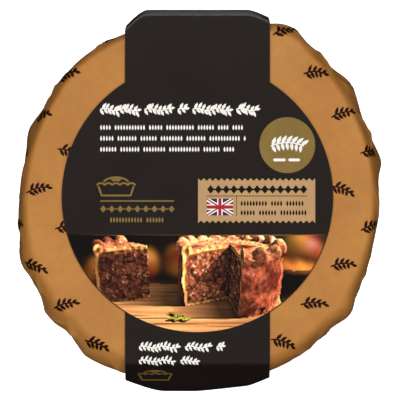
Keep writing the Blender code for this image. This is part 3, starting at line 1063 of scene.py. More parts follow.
white_shapes = []
title_at = -30.3
for number, width_mm in enumerate((12.6, 9.2, 3.4, 12.4, 7.2)):
    white_shapes += garland(title_at, 27.3, width_mm - 0.9, 3.9, 11 + number)
    title_at += width_mm + 1.2
for number, (at_y, long) in enumerate(((21.7, 44.6), (18.3, 45.6), (14.9, 41.2))):
    white_shapes += seeds(-30.0, at_y, long, 1.7, 31 + number)
lower_at = -18.2
for number, width_mm in enumerate((13.0, 8.6, 2.8)):
    white_shapes += garland(lower_at, -46.7, width_mm - 0.9, 3.3, 41 + number)
    lower_at += width_mm + 1.3
lower_at = -18.2
for number, width_mm in enumerate((11.6, 6.2)):
    white_shapes += garland(lower_at, -51.0, width_mm - 0.9, 3.0, 51 + number)
    lower_at += width_mm + 1.3

gold_shapes = move(little_pie(0.58), -31.2, 0.2, 1.02)
gold_shapes += move(little_pie(0.58), -18.5, -60.6, 0.92)
gold_shapes += stroke([(-30.3, -1.2), (-7.3, -1.2)], 0.42)
gold_shapes += beads(-30.3, -3.7, 23.2, 9, 1.9, 2.2)
gold_shapes += seeds(-26.9, -7.1, 17.2, 1.8, 61)
roundel = disc(28.0, 16.2, 8.7, 64)
print("white:", len(white_shapes), "gold:", len(gold_shapes))

# %% Draw the print of the two end walls
gold_shapes += stroke([(-17.6, -67.4), (16.4, -67.4)], 0.30)
gold_shapes += beads(-17.6, -105.5, 34.0, 13, 1.7, 2.0)
for number in range(5):
    gold_shapes += seeds(-17.2, -71.4 - 3.0 * number, 32.6 - 8.0 * (number == 4), 1.5,
                         121 + number)
for number in range(7):
    white_shapes += stroke([(-17.2, -89.2 - 2.2 * number), (16.2, -89.2 - 2.2 * number)], 0.16)
    if number < 6:
        white_shapes += bars(-16.6, -90.3 - 2.2 * number, 11.0, 0.7, 0.6, 131 + number)
        white_shapes += bars(6.0, -90.3 - 2.2 * number, 3.4, 0.7, 0.6, 141 + number)
        white_shapes += bars(12.0, -90.3 - 2.2 * number, 3.4, 0.7, 0.6, 151 + number)
gold_shapes += move(little_pie(0.58), -9.6, 66.0, 1.5)
gold_shapes += beads(-17.6, 62.6, 34.0, 13, 1.7, 2.0)
gold_shapes += stroke([(-17.6, 78.6), (16.4, 78.6)], 0.30)
for number in range(7):
    white_shapes += seeds(-17.2, 82.4 + 3.0 * number, 32.6 - 9.0 * (number == 0), 1.5,
                          161 + number)
print("with the end walls, white:", len(white_shapes), "gold:", len(gold_shapes))

# %% Draw the label with its pinked edges, its dark print and its small flag
def pinked(x0, x1, y0, y1, pitch, depth):
    """A panel whose top and bottom edges are cut in teeth."""
    teeth = round((x1 - x0) / pitch)
    step = (x1 - x0) / teeth
    low = []
    high = []
    for index in range(teeth + 1):
        low.append((x0 + step * index, y0))
        high.append((x0 + step * index, y1))
        if index < teeth:
            low.append((x0 + step * (index + 0.5), y0 + depth))
            high.append((x0 + step * (index + 0.5), y1 - depth))
    return [(low[i], low[i + 1], high[i + 1], high[i]) for i in range(len(low) - 1)]


label_shapes = pinked(0.2, 36.7, -8.1, 5.9, 1.8, 0.85)
label_dark = beads(3.0, 2.4, 31.2, 13, 2.25, 2.7)
label_dark += stroke([(2.9, 0.35), (34.2, 0.35)], 0.22)
label_dark += stroke([(12.2, 0.35), (12.2, -5.9)], 0.18)
label_dark += seeds(13.8, -1.95, 19.8, 1.8, 71)
label_dark += seeds(13.8, -4.85, 20.8, 1.8, 72)

FLAG = (2.9, -5.7, 8.2, 5.2)


def flag_part(polygon):
    """A part of the flag, given in shares of its width and height."""
    x, y, wide, high = FLAG
    return [(x + px * wide, y + py * high) for px, py in polygon]


def saltire(half):
    """Two diagonal bands, cut off at the flag's corners."""
    run = half * 0.63
    rise = half
    one = [(0, 0), (run, 0), (1, 1 - rise), (1, 1), (1 - run, 1), (0, rise)]
    other = [(1 - px, py) for px, py in reversed(one)]
    return [flag_part(one), flag_part(other)]


def cross(half_wide, half_high):
    upright = [(0.5 - half_wide, 0), (0.5 + half_wide, 0), (0.5 + half_wide, 1),
               (0.5 - half_wide, 1)]
    level = [(0, 0.5 - half_high), (1, 0.5 - half_high), (1, 0.5 + half_high),
             (0, 0.5 + half_high)]
    return [flag_part(upright), flag_part(level)]


flag_layers = (
    ("blue", [flag_part([(0, 0), (1, 0), (1, 1), (0, 1)])], 0.030),
    ("white", saltire(0.17) + cross(0.105, 0.165), 0.038),
    ("red", saltire(0.06) + cross(0.06, 0.10), 0.046),
)
print("label:", len(label_shapes), "teeth pieces,", len(label_dark), "dark shapes")

# %% Draw the sprig of the roundel and the panel under the base
roundel_white = stroke(arc(28.0, 4.4, 12.6, 114, 66, 10), 0.42)
for index, (x, y) in enumerate(arc(28.0, 4.4, 12.6, 112, 70, 6)):
    roundel_white += leaf(x, y, 2.9, 1.15, 68 - 6 * index)
    roundel_white += leaf(x, y, 2.5, 1.05, -62 - 6 * index)
roundel_white += bars(23.6, 11.6, 8.9, 0.9, 0.8, 81)

BASE_PANEL = (-17.0, 17.0, 128.0, 158.0)
base_panel = [arc(BASE_PANEL[1] - 2, BASE_PANEL[3] - 2, 2, 0, 90, 5)
              + arc(BASE_PANEL[0] + 2, BASE_PANEL[3] - 2, 2, 90, 180, 5)
              + arc(BASE_PANEL[0] + 2, BASE_PANEL[2] + 2, 2, 180, 270, 5)
              + arc(BASE_PANEL[1] - 2, BASE_PANEL[2] + 2, 2, 270, 360, 5)]
base_dark = beads(-14.5, 154.6, 29.0, 13, 1.7, 2.0)
for number in range(6):
    base_dark += seeds(-14.2, 150.6 - 2.1 * number, 28.6 - 5.0 * (number == 5), 1.2, 91 + number)
for number in range(4):
    base_dark += stroke([(-14.5, 137.2 - 2.2 * number), (14.5, 137.2 - 2.2 * number)], 0.16)
    if number < 3:
        base_dark += bars(-14.0, 136.1 - 2.2 * number, 9.0, 0.7, 0.6, 101 + number)
        base_dark += bars(9.0, 136.1 - 2.2 * number, 4.6, 0.7, 0.6, 111 + number)
print("panel under the base:", len(base_dark), "dark shapes")

# %% [markdown]
# ## Inks
#
# Packs like this are printed by offset and then laminated with a silk film. The white is opaque
# white ink, the gold is a flat bronze colour rather than foil, and all of them share the film's
# soft gloss. Each ink gets the fine grain of a printed solid, and the gold a little more.

# %% Mix the inks
def grain_ink(name, colour, deep, roughness, grain_mm, specular=0.35):
    """A printed ink: its colour drifts to a deeper one in a fine grain, as printed solids do."""
    ink = new_finish(name, colour, roughness, specular)
    tree = ink.node_tree
    place = add(tree, "ShaderNodeTexCoord").outputs["Object"]
    fine = add(tree, "ShaderNodeTexNoise", place, sockets={
        "Scale": 1 / (grain_mm * MM), "Detail": 3.0, "Roughness": 0.6})
    cloud = add(tree, "ShaderNodeTexNoise", place, sockets={"Scale": 1 / (9 * MM)})
    mixed = add(tree, MATH, fine, cloud, operation="MULTIPLY")
    share = add(tree, RANGE, mixed, 0.15, 0.45)
    tint = add(tree, "ShaderNodeMix", share, linear(deep), linear(colour), data_type="RGBA")
    shine = add(tree, RANGE, fine, 0.3, 0.7, roughness - 0.06, roughness + 0.06)
    shader = tree.nodes["Principled BSDF"]
    tree.links.new(tint.outputs[2], shader.inputs["Base Color"])
    tree.links.new(shine.outputs[0], shader.inputs["Roughness"])
    return ink


white_ink = grain_ink("white_offset_ink", "#f1eee8", "#e6e1d8", 0.45, 0.5)
gold_ink = grain_ink("flat_bronze_ink", "#866c34", "#785f29", 0.42, 0.35, 0.12)
tan_ink = grain_ink("tan_offset_ink", "#ba9465", "#af895a", 0.5, 0.4, 0.2)
dark_ink = grain_ink("dark_brown_offset_ink", "#1c110b", "#150b06", 0.5, 0.4, 0.06)
blue_ink = grain_ink("blue_offset_ink", "#1f2f63", "#182552", 0.5, 0.4, 0.1)
red_ink = grain_ink("red_offset_ink", "#b3202c", "#9c1a26", 0.5, 0.4, 0.1)
print("inks:", [m.name for m in bpy.data.materials if m.name.endswith("_ink")])

# %% Print on the board
panel_middle = list_object("panel_middle", [(BAND_X, PANEL_Y, 0.0)], {
    "turn": [0.0], "size": [1.0], "gathered": [1.0]})


def print_on_board(name, polygons, ink, proud_mm):
    shape = flat_object(name + "_shape", joined(polygons))
    printed = run_tree(lay, name, {"Shape": shape, "Places": panel_middle, "Sheet": sleeve,
                                   "Ink": ink, "Proud": proud_mm * MM})
    bpy.data.objects.remove(shape)
    return printed


card_prints = [
    print_on_board("white_print", white_shapes, white_ink, 0.030),
    print_on_board("gold_print", gold_shapes, gold_ink, 0.030),
    print_on_board("roundel", roundel, gold_ink, 0.024),
    print_on_board("roundel_sprig", roundel_white, white_ink, 0.034),
    print_on_board("tan_label", label_shapes, tan_ink, 0.022),
    print_on_board("label_print", label_dark, dark_ink, 0.032),
    print_on_board("base_panel", base_panel, white_ink, 0.024),
    print_on_board("base_print", base_dark, dark_ink, 0.034),
]
for (colour, polygons, proud_mm), ink in zip(flag_layers, (blue_ink, white_ink, red_ink)):
    card_prints.append(print_on_board("flag_" + colour, polygons, ink, proud_mm))
print("prints:", {thing.name: len(thing.data.polygons) for thing in card_prints})

# %% [markdown]
# ## The food picture
#
# The lower part of the round panel carries a serving suggestion: a raised pie with a wedge cut
# from it, on a wooden board in low warm light. No picture file is used. The still life is built
# from simple solids, each given by a distance function, which tells how far a point is from its
# surface. A ray for every printed dot steps forward by that distance until it lands, and the dot
# takes the colour and the light of the place where it landed.

# %% Describe the solids of the still life, in centimetres
def ball(p, centre, radius, squash=1.0):
    """Distance to a ball, squashed in height."""
    q = (p - np.array(centre)) / np.array((1.0, 1.0, squash))
    return (np.linalg.norm(q, axis=-1) - radius) * min(squash, 1.0)


def block(p, centre, half, turn, round_off):
    """Distance to a turned block with rounded edges."""
    q = p - np.array(centre)
    cos, sin = math.cos(math.radians(turn)), math.sin(math.radians(turn))
    q = np.stack((q[..., 0] * cos + q[..., 1] * sin, q[..., 1] * cos - q[..., 0] * sin,
                  q[..., 2]), axis=-1)
    d = np.abs(q) - (np.array(half) - round_off)
    outside = np.linalg.norm(np.maximum(d, 0.0), axis=-1)
    return outside + np.minimum(d.max(axis=-1), 0.0) - round_off


def whole_pie(p, radius=4.6, tall=5.4, crimps=17):
    """Distance to a raised pie that stands at the origin: bowed side, low lid, crimped rim."""
    around = np.hypot(p[..., 0], p[..., 1])
    bearing = np.arctan2(p[..., 1], p[..., 0])
    z = p[..., 2]
    side = radius + 0.34 * np.sin(np.clip(z / tall, 0.0, 1.0) * math.pi)
    side = side + 0.07 * np.sin(5.0 * bearing + 1.0) + 0.05 * np.sin(3.1 * z + 7.0 * bearing)
    lid = tall - 0.55 + 0.5 * np.sqrt(np.clip(1.0 - (around / radius) ** 2, 0.0, 1.0))
    body = np.maximum(around - side, np.maximum(z - lid, -z)) - 0.12
    wave = np.cos(crimps * bearing)
    ring = np.hypot(around - radius + 0.10 - 0.16 * wave, (z - tall + 0.22 - 0.14 * wave) * 0.85)
    rim = ring - (0.50 + 0.10 * wave)
    blend = np.clip(0.5 + 0.5 * (body - rim) / 0.35, 0.0, 1.0)
    return body * (1 - blend) + rim * blend - 0.35 * blend * (1 - blend)


def wedge(p, start, stop):
    """Distance to the space between two upright planes that meet at the pie's middle."""
    a, b = math.radians(start), math.radians(stop)
    first = p[..., 0] * math.sin(a) - p[..., 1] * math.cos(a)
    second = p[..., 1] * math.cos(b) - p[..., 0] * math.sin(b)
    return np.maximum(first, second)


PIE_AT = (3.4, 1.6, 1.2)
PIE_CUT = (-152.0, -84.0)
SLICE_AT = (-2.9, 0.2, 1.2)
SLICE_TURN = 158.0
BOWL_AT = (11.6, 8.5, 4.3)
APPLES = ((-10.9, 7.0, 2.3), (-7.4, 10.5, 2.5), (-2.2, 12.5, 2.4), (8.2, 15.0, 3.0), (14.6, 14.5, 3.1))


def turned_about(p, centre, degrees):
    q = p - np.array(centre)
    cos, sin = math.cos(math.radians(degrees)), math.sin(math.radians(degrees))
    return np.stack((q[..., 0] * cos + q[..., 1] * sin, q[..., 1] * cos - q[..., 0] * sin,
                     q[..., 2]), axis=-1)


def distances(p):
    """Distance to each: table, board, pie, slice, apples, bowl, herb leaves, relish."""
    pie_place = p - np.array(PIE_AT)
    pie = np.maximum(whole_pie(pie_place), -wedge(pie_place, *PIE_CUT))
    slice_place = turned_about(p, SLICE_AT, SLICE_TURN)
    cut = np.maximum(whole_pie(slice_place + np.array((-1.6, 0.0, 0.0))),
                     wedge(slice_place + np.array((-1.6, 0.0, 0.0)), -27.0, 27.0))
    apples = np.full(p.shape[:-1], 99.0)
    for x, y, size in APPLES:
        apples = np.minimum(apples, ball(p, (x, y, size), size, 0.94))
    bowl = np.maximum(np.abs(ball(p, BOWL_AT, 4.2)) - 0.16, p[..., 2] - 3.3)
    lumps = 0.16 * np.sin(3.1 * p[..., 0] + 1.7 * p[..., 1]) * np.sin(2.6 * p[..., 1] - p[..., 0])
    relish = np.maximum(ball(p, BOWL_AT, 4.1), p[..., 2] - 2.75 - lumps) * 0.8
    herbs = np.full(p.shape[:-1], 9.0)
    for x, y, turn in HERB_LEAVES:
        herbs = np.minimum(herbs, block(p, (x, y, 1.38), (0.34, 0.13, 0.07), turn, 0.06))
    return np.stack((
        p[..., 2],
        block(p, (-3.2, 0.2, 0.6), (11.5, 5.8, 0.6), -9.0, 0.25),
        pie, cut, apples, bowl, herbs, relish), axis=-1)


herb_picker = random.Random(5)
HERB_LEAVES = [(herb_picker.gauss(x, 0.55), herb_picker.gauss(y, 0.4), herb_picker.uniform(0, 180))
               for x, y in ((-8.6, -1.6), (-1.6, -3.6), (6.4, -4.2)) for _ in range(6)]
print("herb leaves:", len(HERB_LEAVES))

# %% Follow the rays
PICTURE_TOP = -11.6                 # mm above the panel's middle
PICTURE_STEP = 0.29
PICTURE_RIM = PANEL_RADIUS / MM - 0.26
picture_x = np.arange(-41.0, 41.0, PICTURE_STEP)
picture_y = np.arange(-42.4, PICTURE_TOP + PICTURE_STEP, PICTURE_STEP)

EYE = np.array((0.6, -25.0, 11.5))
AIM = np.array((0.3, 0.0, 3.35))
VIEW_WIDTH = 0.470                  # half the picture's width, one unit in front of the eye
KEY = np.array((0.70, -0.06, 0.66))
KEY = KEY / np.linalg.norm(KEY)


def view_rays():
    """The direction of the ray through every dot."""
    ahead = (AIM - EYE) / np.linalg.norm(AIM - EYE)
    right = np.cross(ahead, (0.0, 0.0, 1.0))
    right = right / np.linalg.norm(right)
    up = np.cross(right, ahead)
    u, v = np.meshgrid(picture_x / 41.0, (picture_y + 26.6) / 41.0)
    rays = ahead + VIEW_WIDTH * (u[..., None] * right + v[..., None] * up)
    return rays / np.linalg.norm(rays, axis=-1, keepdims=True)


def march(start, rays, furthest, steps):
    """How far each ray runs before it lands; a ray that has landed is left alone."""
    starts = np.broadcast_to(start, rays.shape).reshape(-1, 3)
    ways = rays.reshape(-1, 3)
    gone = np.zeros(len(ways))
    busy = np.arange(len(ways))
    for _ in range(steps):
        near = distances(starts[busy] + ways[busy] * gone[busy, None]).min(axis=-1)
        gone[busy] = np.minimum(gone[busy] + 0.8 * near, furthest)
        busy = busy[(near > 0.004) & (gone[busy] < furthest)]
        if not len(busy):
            break
    return gone.reshape(rays.shape[:-1])


def surface_normals(p, reach=0.02):
    """The way each surface faces, from how the distance changes towards four corners."""
    facing = np.zeros(p.shape)
    for corner in ((1, -1, -1), (-1, -1, 1), (-1, 1, -1), (1, 1, 1)):
        way = np.array(corner, float)
        facing += way * distances(p + way * reach).min(axis=-1)[..., None]
    return facing / np.maximum(np.linalg.norm(facing, axis=-1, keepdims=True), 1e-9)


rays = view_rays()
run = march(EYE, rays, 60.0, 64)
landed = EYE + rays * run[..., None]
kinds = distances(landed).argmin(axis=-1)
print("dots:", kinds.size, "on the pie:", int((kinds == 2).sum()))

# %% Give every dot its colour
NOISE_TURN = np.array(Matrix.Rotation(0.9, 3, Vector((0.4, 0.7, 0.5))))


def scatter(at):
    """A number from 0 to 1 for each whole place, with no pattern to it."""
    mixed = at[..., 0] * 374761393 + at[..., 1] * 668265263 + at[..., 2] * 2147483647
    mixed = (mixed ^ mixed >> 13) * 1274126177 & 0xFFFFFFFF
    return (mixed ^ mixed >> 16) % 65536 / 65535.0


def noise_field(p, size, seed):
    """Smooth noise from 0 to 1 over the solids, with features of this size in centimetres."""
    q = p @ NOISE_TURN / size + seed * 17.3
    cell = np.floor(q).astype(int)
    share = q - cell
    share = share * share * (3.0 - 2.0 * share)
    total = np.zeros(p.shape[:-1])
    for corner in range(8):
        step = np.array((corner & 1, corner >> 1 & 1, corner >> 2 & 1))
        at = cell + step
        weight = np.prod(np.where(step == 1, share, 1.0 - share), axis=-1)
        total += scatter(at) * weight
    return total


def chunks(p, size, seed):
    """Packed lumps of about this size: how far in from a lump's edge, and the lump's own tone."""
    q = p @ NOISE_TURN / size + seed * 11.7
    cell = np.floor(q).astype(int)
    nearest = np.full(p.shape[:-1], 9.0)
    second = nearest.copy()
    tone = np.zeros(p.shape[:-1])
    for neighbour in range(27):
        at = cell + np.array((neighbour % 3 - 1, neighbour // 3 % 3 - 1, neighbour // 9 - 1))
        keys = [scatter(at + shift) for shift in (0, 101, 203, 307)]
        apart = np.linalg.norm(at + np.stack(keys[:3], axis=-1) - q, axis=-1)
        closer = apart < nearest
        second = np.where(closer, nearest, np.minimum(second, apart))
        tone = np.where(closer, keys[3], tone)
        nearest = np.where(closer, apart, nearest)
    return second - nearest, tone


def tint(hex_colour):
    return np.array(linear(hex_colour)[:3])


def between(share, low, high):
    """Mix two colours by a field of shares."""
    share = np.clip(share, 0.0, 1.0)[..., None]
    return low * (1.0 - share) + high * share


fine = noise_field(landed, 0.16, 1)
lump_edge, lump_tone = chunks(landed, 0.62, 9)
bit_edge, bit_tone = chunks(landed, 0.27, 12)
middle = noise_field(landed, 0.6, 2)
broad = noise_field(landed, 1.9, 3)
rough = 0.5 * middle + 0.3 * fine + 0.2 * broad
facing = surface_normals(landed)
bump = np.stack([noise_field(landed, 0.3, seed) - 0.5 for seed in (5, 6, 7)], axis=-1)
facing = facing + bump * np.where((kinds == 2) | (kinds == 3), 0.75, 0.12)[..., None]
facing = facing / np.linalg.norm(facing, axis=-1, keepdims=True)


def pie_colours(p):
    """Crust outside, and a speckled filling with a pale line of jelly where it is cut."""
    around = np.hypot(p[..., 0], p[..., 1])
    z = p[..., 2]
    skin = whole_pie(p)
    crust = between(rough * 2.2 - 0.6, tint("#7b3526"), tint("#b8694c"))
    crust = between((z - 4.6) * 0.6 + (fine - 0.5), crust, tint("#cf9468"))
    crust = between((broad - 0.60) * 4.0, crust, tint("#5c251c"))
    crust = between((0.07 - bit_edge) * 9.0 * (lump_tone > 0.45), crust, tint("#4a1b12"))
    meat = between(lump_tone, tint("#54271b"), tint("#a5644b"))
    meat = between((bit_tone - 0.55) * 1.4, meat, tint("#bd8468"))
    meat = between((bit_tone - 0.92) * 20.0, meat, tint("#cfa283"))
    meat = between((0.16 - lump_edge) * 5.0, meat, tint("#2a120c"))
    meat = between((0.10 - bit_edge) * 4.0, meat, tint("#3a1a11"))
    jelly = between(fine, tint("#5d3015"), tint("#9a6428"))
    inside = between((skin + 0.55) * 9.0, meat, jelly)
    inside = between((skin + 0.36) * 9.0, inside, between(fine, tint("#c08a50"), tint("#dcae74")))
    return between((skin + 0.07) * 14.0, inside, crust)


grain = noise_field(landed * np.array((0.10, 1.6, 1.0)), 0.5, 4)
cuts = noise_field(landed * np.array((0.05, 5.0, 1.0)), 0.5, 8)
wood = between(grain, tint("#7f5b3a"), tint("#a37f56"))
wood = between((cuts - 0.66) * 4.0, wood, tint("#573719"))
slice_place = turned_about(landed, SLICE_AT, SLICE_TURN) + np.array((-1.6, 0.0, 0.0))
apple = between(broad * 1.8 - 0.5, tint("#8c2a14"), tint("#c8973a"))
colours = np.stack((
    between(grain, tint("#1d1410"), tint("#3a281c")),
    wood,
    pie_colours(landed - np.array(PIE_AT)),
    pie_colours(slice_place),
    apple,
    between(fine, tint("#15110f"), tint("#2b241f")),
    between(fine, tint("#3d4a17"), tint("#7c8735")),
    between(middle * 1.8 - 0.4, tint("#6d2c0e"), tint("#d99440"))), axis=0)
ink = np.take_along_axis(colours, kinds[None, ..., None], axis=0)[0]

# %% Light the dots
to_key = march(landed + facing * 0.05, np.broadcast_to(KEY, landed.shape), 12.0, 22)
window = landed[..., 0] * 0.45 - landed[..., 1] * 0.9 + landed[..., 2] * 0.5
window = np.exp(-((window - 2.4) / 5.4) ** 2) * 0.8 + 0.2
in_light = np.clip((to_key - 2.0) / 8.0, 0.0, 1.0) * window
open_air = np.ones(kinds.shape)
for reach in (0.25, 0.7, 1.5):
    free = distances(landed + facing * reach).min(axis=-1)
    open_air -= 0.28 * np.clip(1.0 - free / reach, 0.0, 1.0)
lit = np.clip((facing * KEY).sum(axis=-1), 0.0, 1.0) * in_light
half_way = KEY - rays
half_way = half_way / np.linalg.norm(half_way, axis=-1, keepdims=True)
shine = np.clip((facing * half_way).sum(axis=-1), 0.0, 1.0) ** 26 * in_light
fill = np.clip(0.55 - 0.45 * facing[..., 1], 0.0, 1.0) * np.clip(open_air, 0.15, 1.0)
gloss = np.array((0.02, 0.05, 0.34, 0.24, 0.55, 0.45, 0.10, 0.50))[kinds]
light = (lit[..., None] * np.array((3.8, 2.85, 2.2))
         + fill[..., None] * np.array((0.44, 0.33, 0.27)))
picture = ink * light + (gloss * shine)[..., None] * np.array((1.0, 0.86, 0.66))

haze = np.clip((run - 33.0) / 26.0, 0.0, 1.0)[..., None]
glow = np.exp(-((picture_x[None, :] - 30.0) / 22.0) ** 2) * np.ones(kinds.shape)
backdrop = between(glow, tint("#150d09"), tint("#4a2c1a"))
picture = picture * (1 - haze) + backdrop * haze
print("brightest dot", round(float(picture.max()), 2), "mean", round(float(picture.mean()), 3))

# %% Soften what is far off, sharpen what is near and set the contrast
PICTURE_CONTRAST = 1.20
PICTURE_GAIN = 1.62


def soften(field, dots):
    """Blur a field by a moving mean along each axis, twice."""
    size = 2 * dots + 1
    for axis in (0, 1, 0, 1):
        padded = np.pad(field, [(dots, dots) if a == axis else (0, 0) for a in range(3)], "edge")
        summed = np.cumsum(padded, axis=axis)
        head = np.take(summed, range(size - 1, padded.shape[axis]), axis=axis)
        tail = np.concatenate((np.zeros_like(np.take(summed, [0], axis=axis)),
                               np.take(summed, range(padded.shape[axis] - size), axis=axis)), axis)
        field = (head - tail) / size
    return field


far_off = np.clip((run - 30.5) / 5.0, 0.0, 1.0)[..., None]
behind = soften(picture * far_off, 3) / np.maximum(soften(far_off, 3), 0.02)
picture = picture * (1 - far_off) + behind * far_off
picture = np.maximum(picture + 0.5 * (picture - soften(picture, 1)), 0.0)
brightness = np.maximum(picture @ np.array((0.3, 0.6, 0.1)), 1e-4)[..., None]
picture = picture * PICTURE_GAIN * np.minimum(brightness, 0.8) ** (PICTURE_CONTRAST - 1.0)
picture = np.clip(picture, 0.0, 1.0)
print("picture:", picture.shape[1], "by", picture.shape[0], "dots")

# %% Print the picture
half_chord = math.acos(-PICTURE_TOP / PICTURE_RIM)
picture_edge = [(PICTURE_RIM * math.sin(swing), -PICTURE_RIM * math.cos(swing))
                for swing in np.linspace(-half_chord, half_chord, 220)]
inside = [(float(x), float(y)) for y in picture_y for x in picture_x
          if y < PICTURE_TOP - 0.1 and math.hypot(x, y) < PICTURE_RIM - 0.15]
places, faces = joined([picture_edge], inside)
columns = np.array([(place[0] - picture_x[0]) / PICTURE_STEP for place in places])
lines = np.array([(place[1] - picture_y[0]) / PICTURE_STEP for place in places])
columns = np.clip(columns.round().astype(int), 0, len(picture_x) - 1)
lines = np.clip(lines.round().astype(int), 0, len(picture_y) - 1)
dots = np.concatenate((picture[lines, columns], np.ones((len(places), 1))), axis=1)

picture_shape = flat_object("picture_shape", (places, faces))
colour_field = picture_shape.data.attributes.new("printed_colour", "FLOAT_COLOR", "POINT")
colour_field.data.foreach_set("color", dots.astype(np.float32).ravel())

picture_ink = new_finish("four_colour_offset_print", "#5a3826", 0.45, 0.04)
tree = picture_ink.node_tree
printed = add(tree, "ShaderNodeAttribute", attribute_name="printed_colour")
speck = add(tree, "ShaderNodeTexNoise", add(tree, "ShaderNodeTexCoord").outputs["Object"],
            sockets={"Scale": 1 / (0.3 * MM), "Detail": 2.0})
strength = add(tree, RANGE, speck, 0.3, 0.7, 0.92, 1.08)
inked = add(tree, "ShaderNodeVectorMath", printed.outputs["Color"], sockets={"Scale": strength},
            operation="SCALE")
picture_shader = tree.nodes["Principled BSDF"]
tree.links.new(inked.outputs[0], picture_shader.inputs["Base Color"])
soft_gloss = add(tree, RANGE, speck, 0.3, 0.7, 0.38, 0.52)
tree.links.new(soft_gloss.outputs[0], picture_shader.inputs["Roughness"])

card_prints.append(run_tree(lay, "food_picture", {
    "Shape": picture_shape, "Places": panel_middle, "Sheet": sleeve, "Ink": picture_ink,
    "Proud": 0.022 * MM}))
bpy.data.objects.remove(picture_shape)
print("picture:", len(card_prints[-1].data.polygons), "faces")

# %% [markdown]
# ## The paper's finish
#
# Greaseproof paper is a dense, smooth sheet, printed here all over in tan. Up close it shows the
# cloudy formation of its fibres, a faint haze of creases and slightly paler colour where a fold
# has been pressed and the ink has cracked. The fibres are about 0.03 mm wide, too fine to show,
# so they are drawn at a quarter of a millimetre.

# %% Finish the paper
tree = paper.node_tree
shader = tree.nodes["Principled BSDF"]
place = add(tree, "ShaderNodeTexCoord").outputs["Object"]
fibre = add(tree, "ShaderNodeTexNoise", place, sockets={
    "Scale": 1 / (0.25 * MM), "Detail": 3.0, "Roughness": 0.65})
formation = add(tree, "ShaderNodeTexNoise", place, sockets={
    "Scale": 1 / (3.5 * MM), "Detail": 4.0, "Roughness": 0.6})
drift = add(tree, "ShaderNodeTexNoise", place, sockets={"Scale": 1 / (28 * MM), "Detail": 1.0})
cloudy = add(tree, MATH, formation, drift, operation="ADD")
formed = add(tree, "ShaderNodeMix", add(tree, RANGE, cloudy, 0.75, 1.25), linear("#ac7236"),
             linear("#b87e3e"), data_type="RGBA")
speckled = add(tree, "ShaderNodeMix", add(tree, RANGE, fibre, 0.62, 0.80, 0.0, 0.5), formed,
               linear("#c0894a"), data_type="RGBA")
folded_off = add(tree, "ShaderNodeAttribute", attribute_name="stand_off")
ridge = add(tree, RANGE, folded_off.outputs["Fac"], 1.6 * MM, 3.6 * MM, 0.0, 0.25,
            interpolation_type="SMOOTHSTEP")
cracked = add(tree, MATH, ridge, add(tree, RANGE, fibre, 0.45, 0.6), operation="MULTIPLY")
worn = add(tree, "ShaderNodeMix", cracked, speckled, linear("#d0a06a"), data_type="RGBA")
tree.links.new(worn.outputs[2], shader.inputs["Base Color"])
gloss = add(tree, RANGE, formation, 0.3, 0.7, 0.52, 0.66)
tree.links.new(gloss.outputs[0], shader.inputs["Roughness"])

crease_map = add(tree, "ShaderNodeTexVoronoi", add(
    tree, "ShaderNodeVectorMath", place, add(
        tree, "ShaderNodeVectorMath", drift.outputs["Color"], sockets={"Scale": 9 * MM},
        operation="SCALE"), operation="ADD"), sockets={"Scale": 1 / (11 * MM)},
    feature="DISTANCE_TO_EDGE")
creased = add(tree, RANGE, crease_map, 0.0, 0.10, 0.0, 1.0, interpolation_type="SMOOTHSTEP")
crumple = add(tree, "ShaderNodeBump", sockets={
    "Strength": 0.35, "Distance": 0.05 * MM, "Height": creased})
surface = add(tree, "ShaderNodeBump", sockets={
    "Strength": 0.3, "Distance": 0.012 * MM, "Height": fibre, "Normal": crumple})
tree.links.new(surface.outputs[0], shader.inputs["Normal"])
print("paper:", len(tree.nodes), "nodes")

# %% [markdown]
# ## The board's finish
#
# Folding board of 0.5 mm is printed solid black-brown on its outer face and covered with a silk
# film, so it has a soft even gloss with the fine tooth of the board under it. The film whitens a
# little along its cut edges, as it wears. Along its creases a lighter grey is painted in as well: a
# painted highlight where the rounded back crease catches the light, with a little wear. The cut
# edge shows the board's core, and the inner face is left uncoated.

# %% Finish the board
card = new_finish("silk_laminated_black_board", "#1f1a17", 0.36, 0.05)
tree = card.node_tree
shader = tree.nodes["Principled BSDF"]
place = add(tree, "ShaderNodeTexCoord").outputs["Object"]
tooth = add(tree, "ShaderNodeTexNoise", place, sockets={
    "Scale": 1 / (0.4 * MM), "Detail": 2.0, "Roughness": 0.6})
solid = add(tree, "ShaderNodeTexNoise", place, sockets={
    "Scale": 1 / (14 * MM), "Detail": 3.0})
black = add(tree, "ShaderNodeMix", solid, linear("#1d1714"), linear("#211b17"),
            data_type="RGBA")
near_cut = add(tree, RANGE, add(tree, "ShaderNodeAttribute", attribute_name="from_cut").outputs[
    "Fac"], 0.0, 0.45 * MM, 0.4, 0.0)
# Painted highlight: the board is lightened along the back crease and the foot creases, as if the
# rounded crease caught the light, with a little wear
crease_highlight_and_wear = add(tree, RANGE, add(tree, "ShaderNodeAttribute", attribute_name="from_fold").outputs[
    "Fac"], 0.3 * MM, 0.75 * MM, 1.0, 0.0)
near = add(tree, MATH, near_cut, crease_highlight_and_wear, operation="MAXIMUM")
chafe = add(tree, "ShaderNodeTexNoise", place, sockets={
    "Scale": 1 / (1.1 * MM), "Detail": 5.0, "Roughness": 0.7})
patchy = add(tree, RANGE, chafe, 0.3, 0.7, 0.55, 1.0)
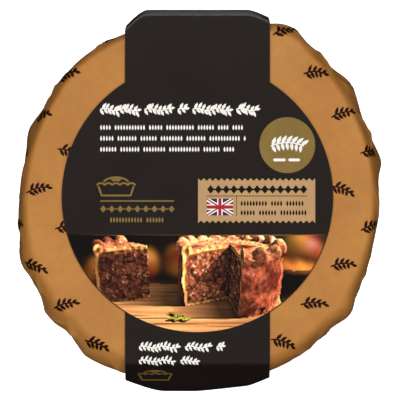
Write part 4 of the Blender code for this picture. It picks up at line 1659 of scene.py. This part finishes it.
wear_and_crease_highlight = add(tree, RANGE, add(tree, MATH, near, patchy, operation="MULTIPLY"), 0.15, 1.0,
             0.0, 0.95)
# Mix towards light grey: wear along the cut edges, and a painted highlight with a little wear along
# the creases
worn = add(tree, "ShaderNodeMix", wear_and_crease_highlight, black, linear("#6a6867"), data_type="RGBA")
tree.links.new(worn.outputs[2], shader.inputs["Base Color"])
gloss = add(tree, RANGE, add(tree, MATH, solid, wear_and_crease_highlight, operation="ADD"), 0.3, 1.1, 0.33, 0.50)
tree.links.new(gloss.outputs[0], shader.inputs["Roughness"])
board_tooth = add(tree, "ShaderNodeBump", sockets={
    "Strength": 0.25, "Distance": 0.01 * MM, "Height": tooth})
tree.links.new(board_tooth.outputs[0], shader.inputs["Normal"])
print("board:", len(tree.nodes), "nodes")

# %% Finish its uncoated inner face and its cut edge
inner = grain_ink("uncoated_board_back", "#b9ae9c", "#a89c88", 0.85, 0.5, 0.2)
core = grain_ink("cut_board_edge", "#3b3029", "#2b221d", 0.8, 0.3, 0.2)
for finish in (card, inner, core):
    sleeve.data.materials.append(finish)
thickness = sleeve.modifiers.new("board_thickness", "SOLIDIFY")
thickness.thickness = BOARD
thickness.offset = -1.0
thickness.use_even_offset = True
thickness.material_offset = 1
thickness.material_offset_rim = 2
print("board thickness:", BOARD / MM, "mm")

# %% [markdown]
# ## Put the pack together
#
# The pack is shut and nothing on it moves, so every piece rides on the one body. The parcel
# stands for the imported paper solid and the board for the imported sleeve. The lists and stamps that
# the trees have read are taken away first.

# %% Hand the pieces over
for helper in (fold_list, section_list, mark_shape, mark_list, panel_middle):
    bpy.data.objects.remove(helper)

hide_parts("wrapped_pie")
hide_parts("card_sleeve")
for piece, slot in [(parcel, "printed_paper"), (marks, "printed_paper"),
                    (sleeve, "black_card")] + [(thing, "black_card") for thing in card_prints]:
    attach(piece, "root")

visual_box = [list(corner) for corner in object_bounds()]
for axis, label in enumerate("xyz"):
    cad_size = (cad_box[1][axis] - cad_box[0][axis]) / MM
    visual_size = (visual_box[1][axis] - visual_box[0][axis]) / MM
    print(f"{label}: solids {cad_size:.1f} mm, finished {visual_size:.1f} mm")
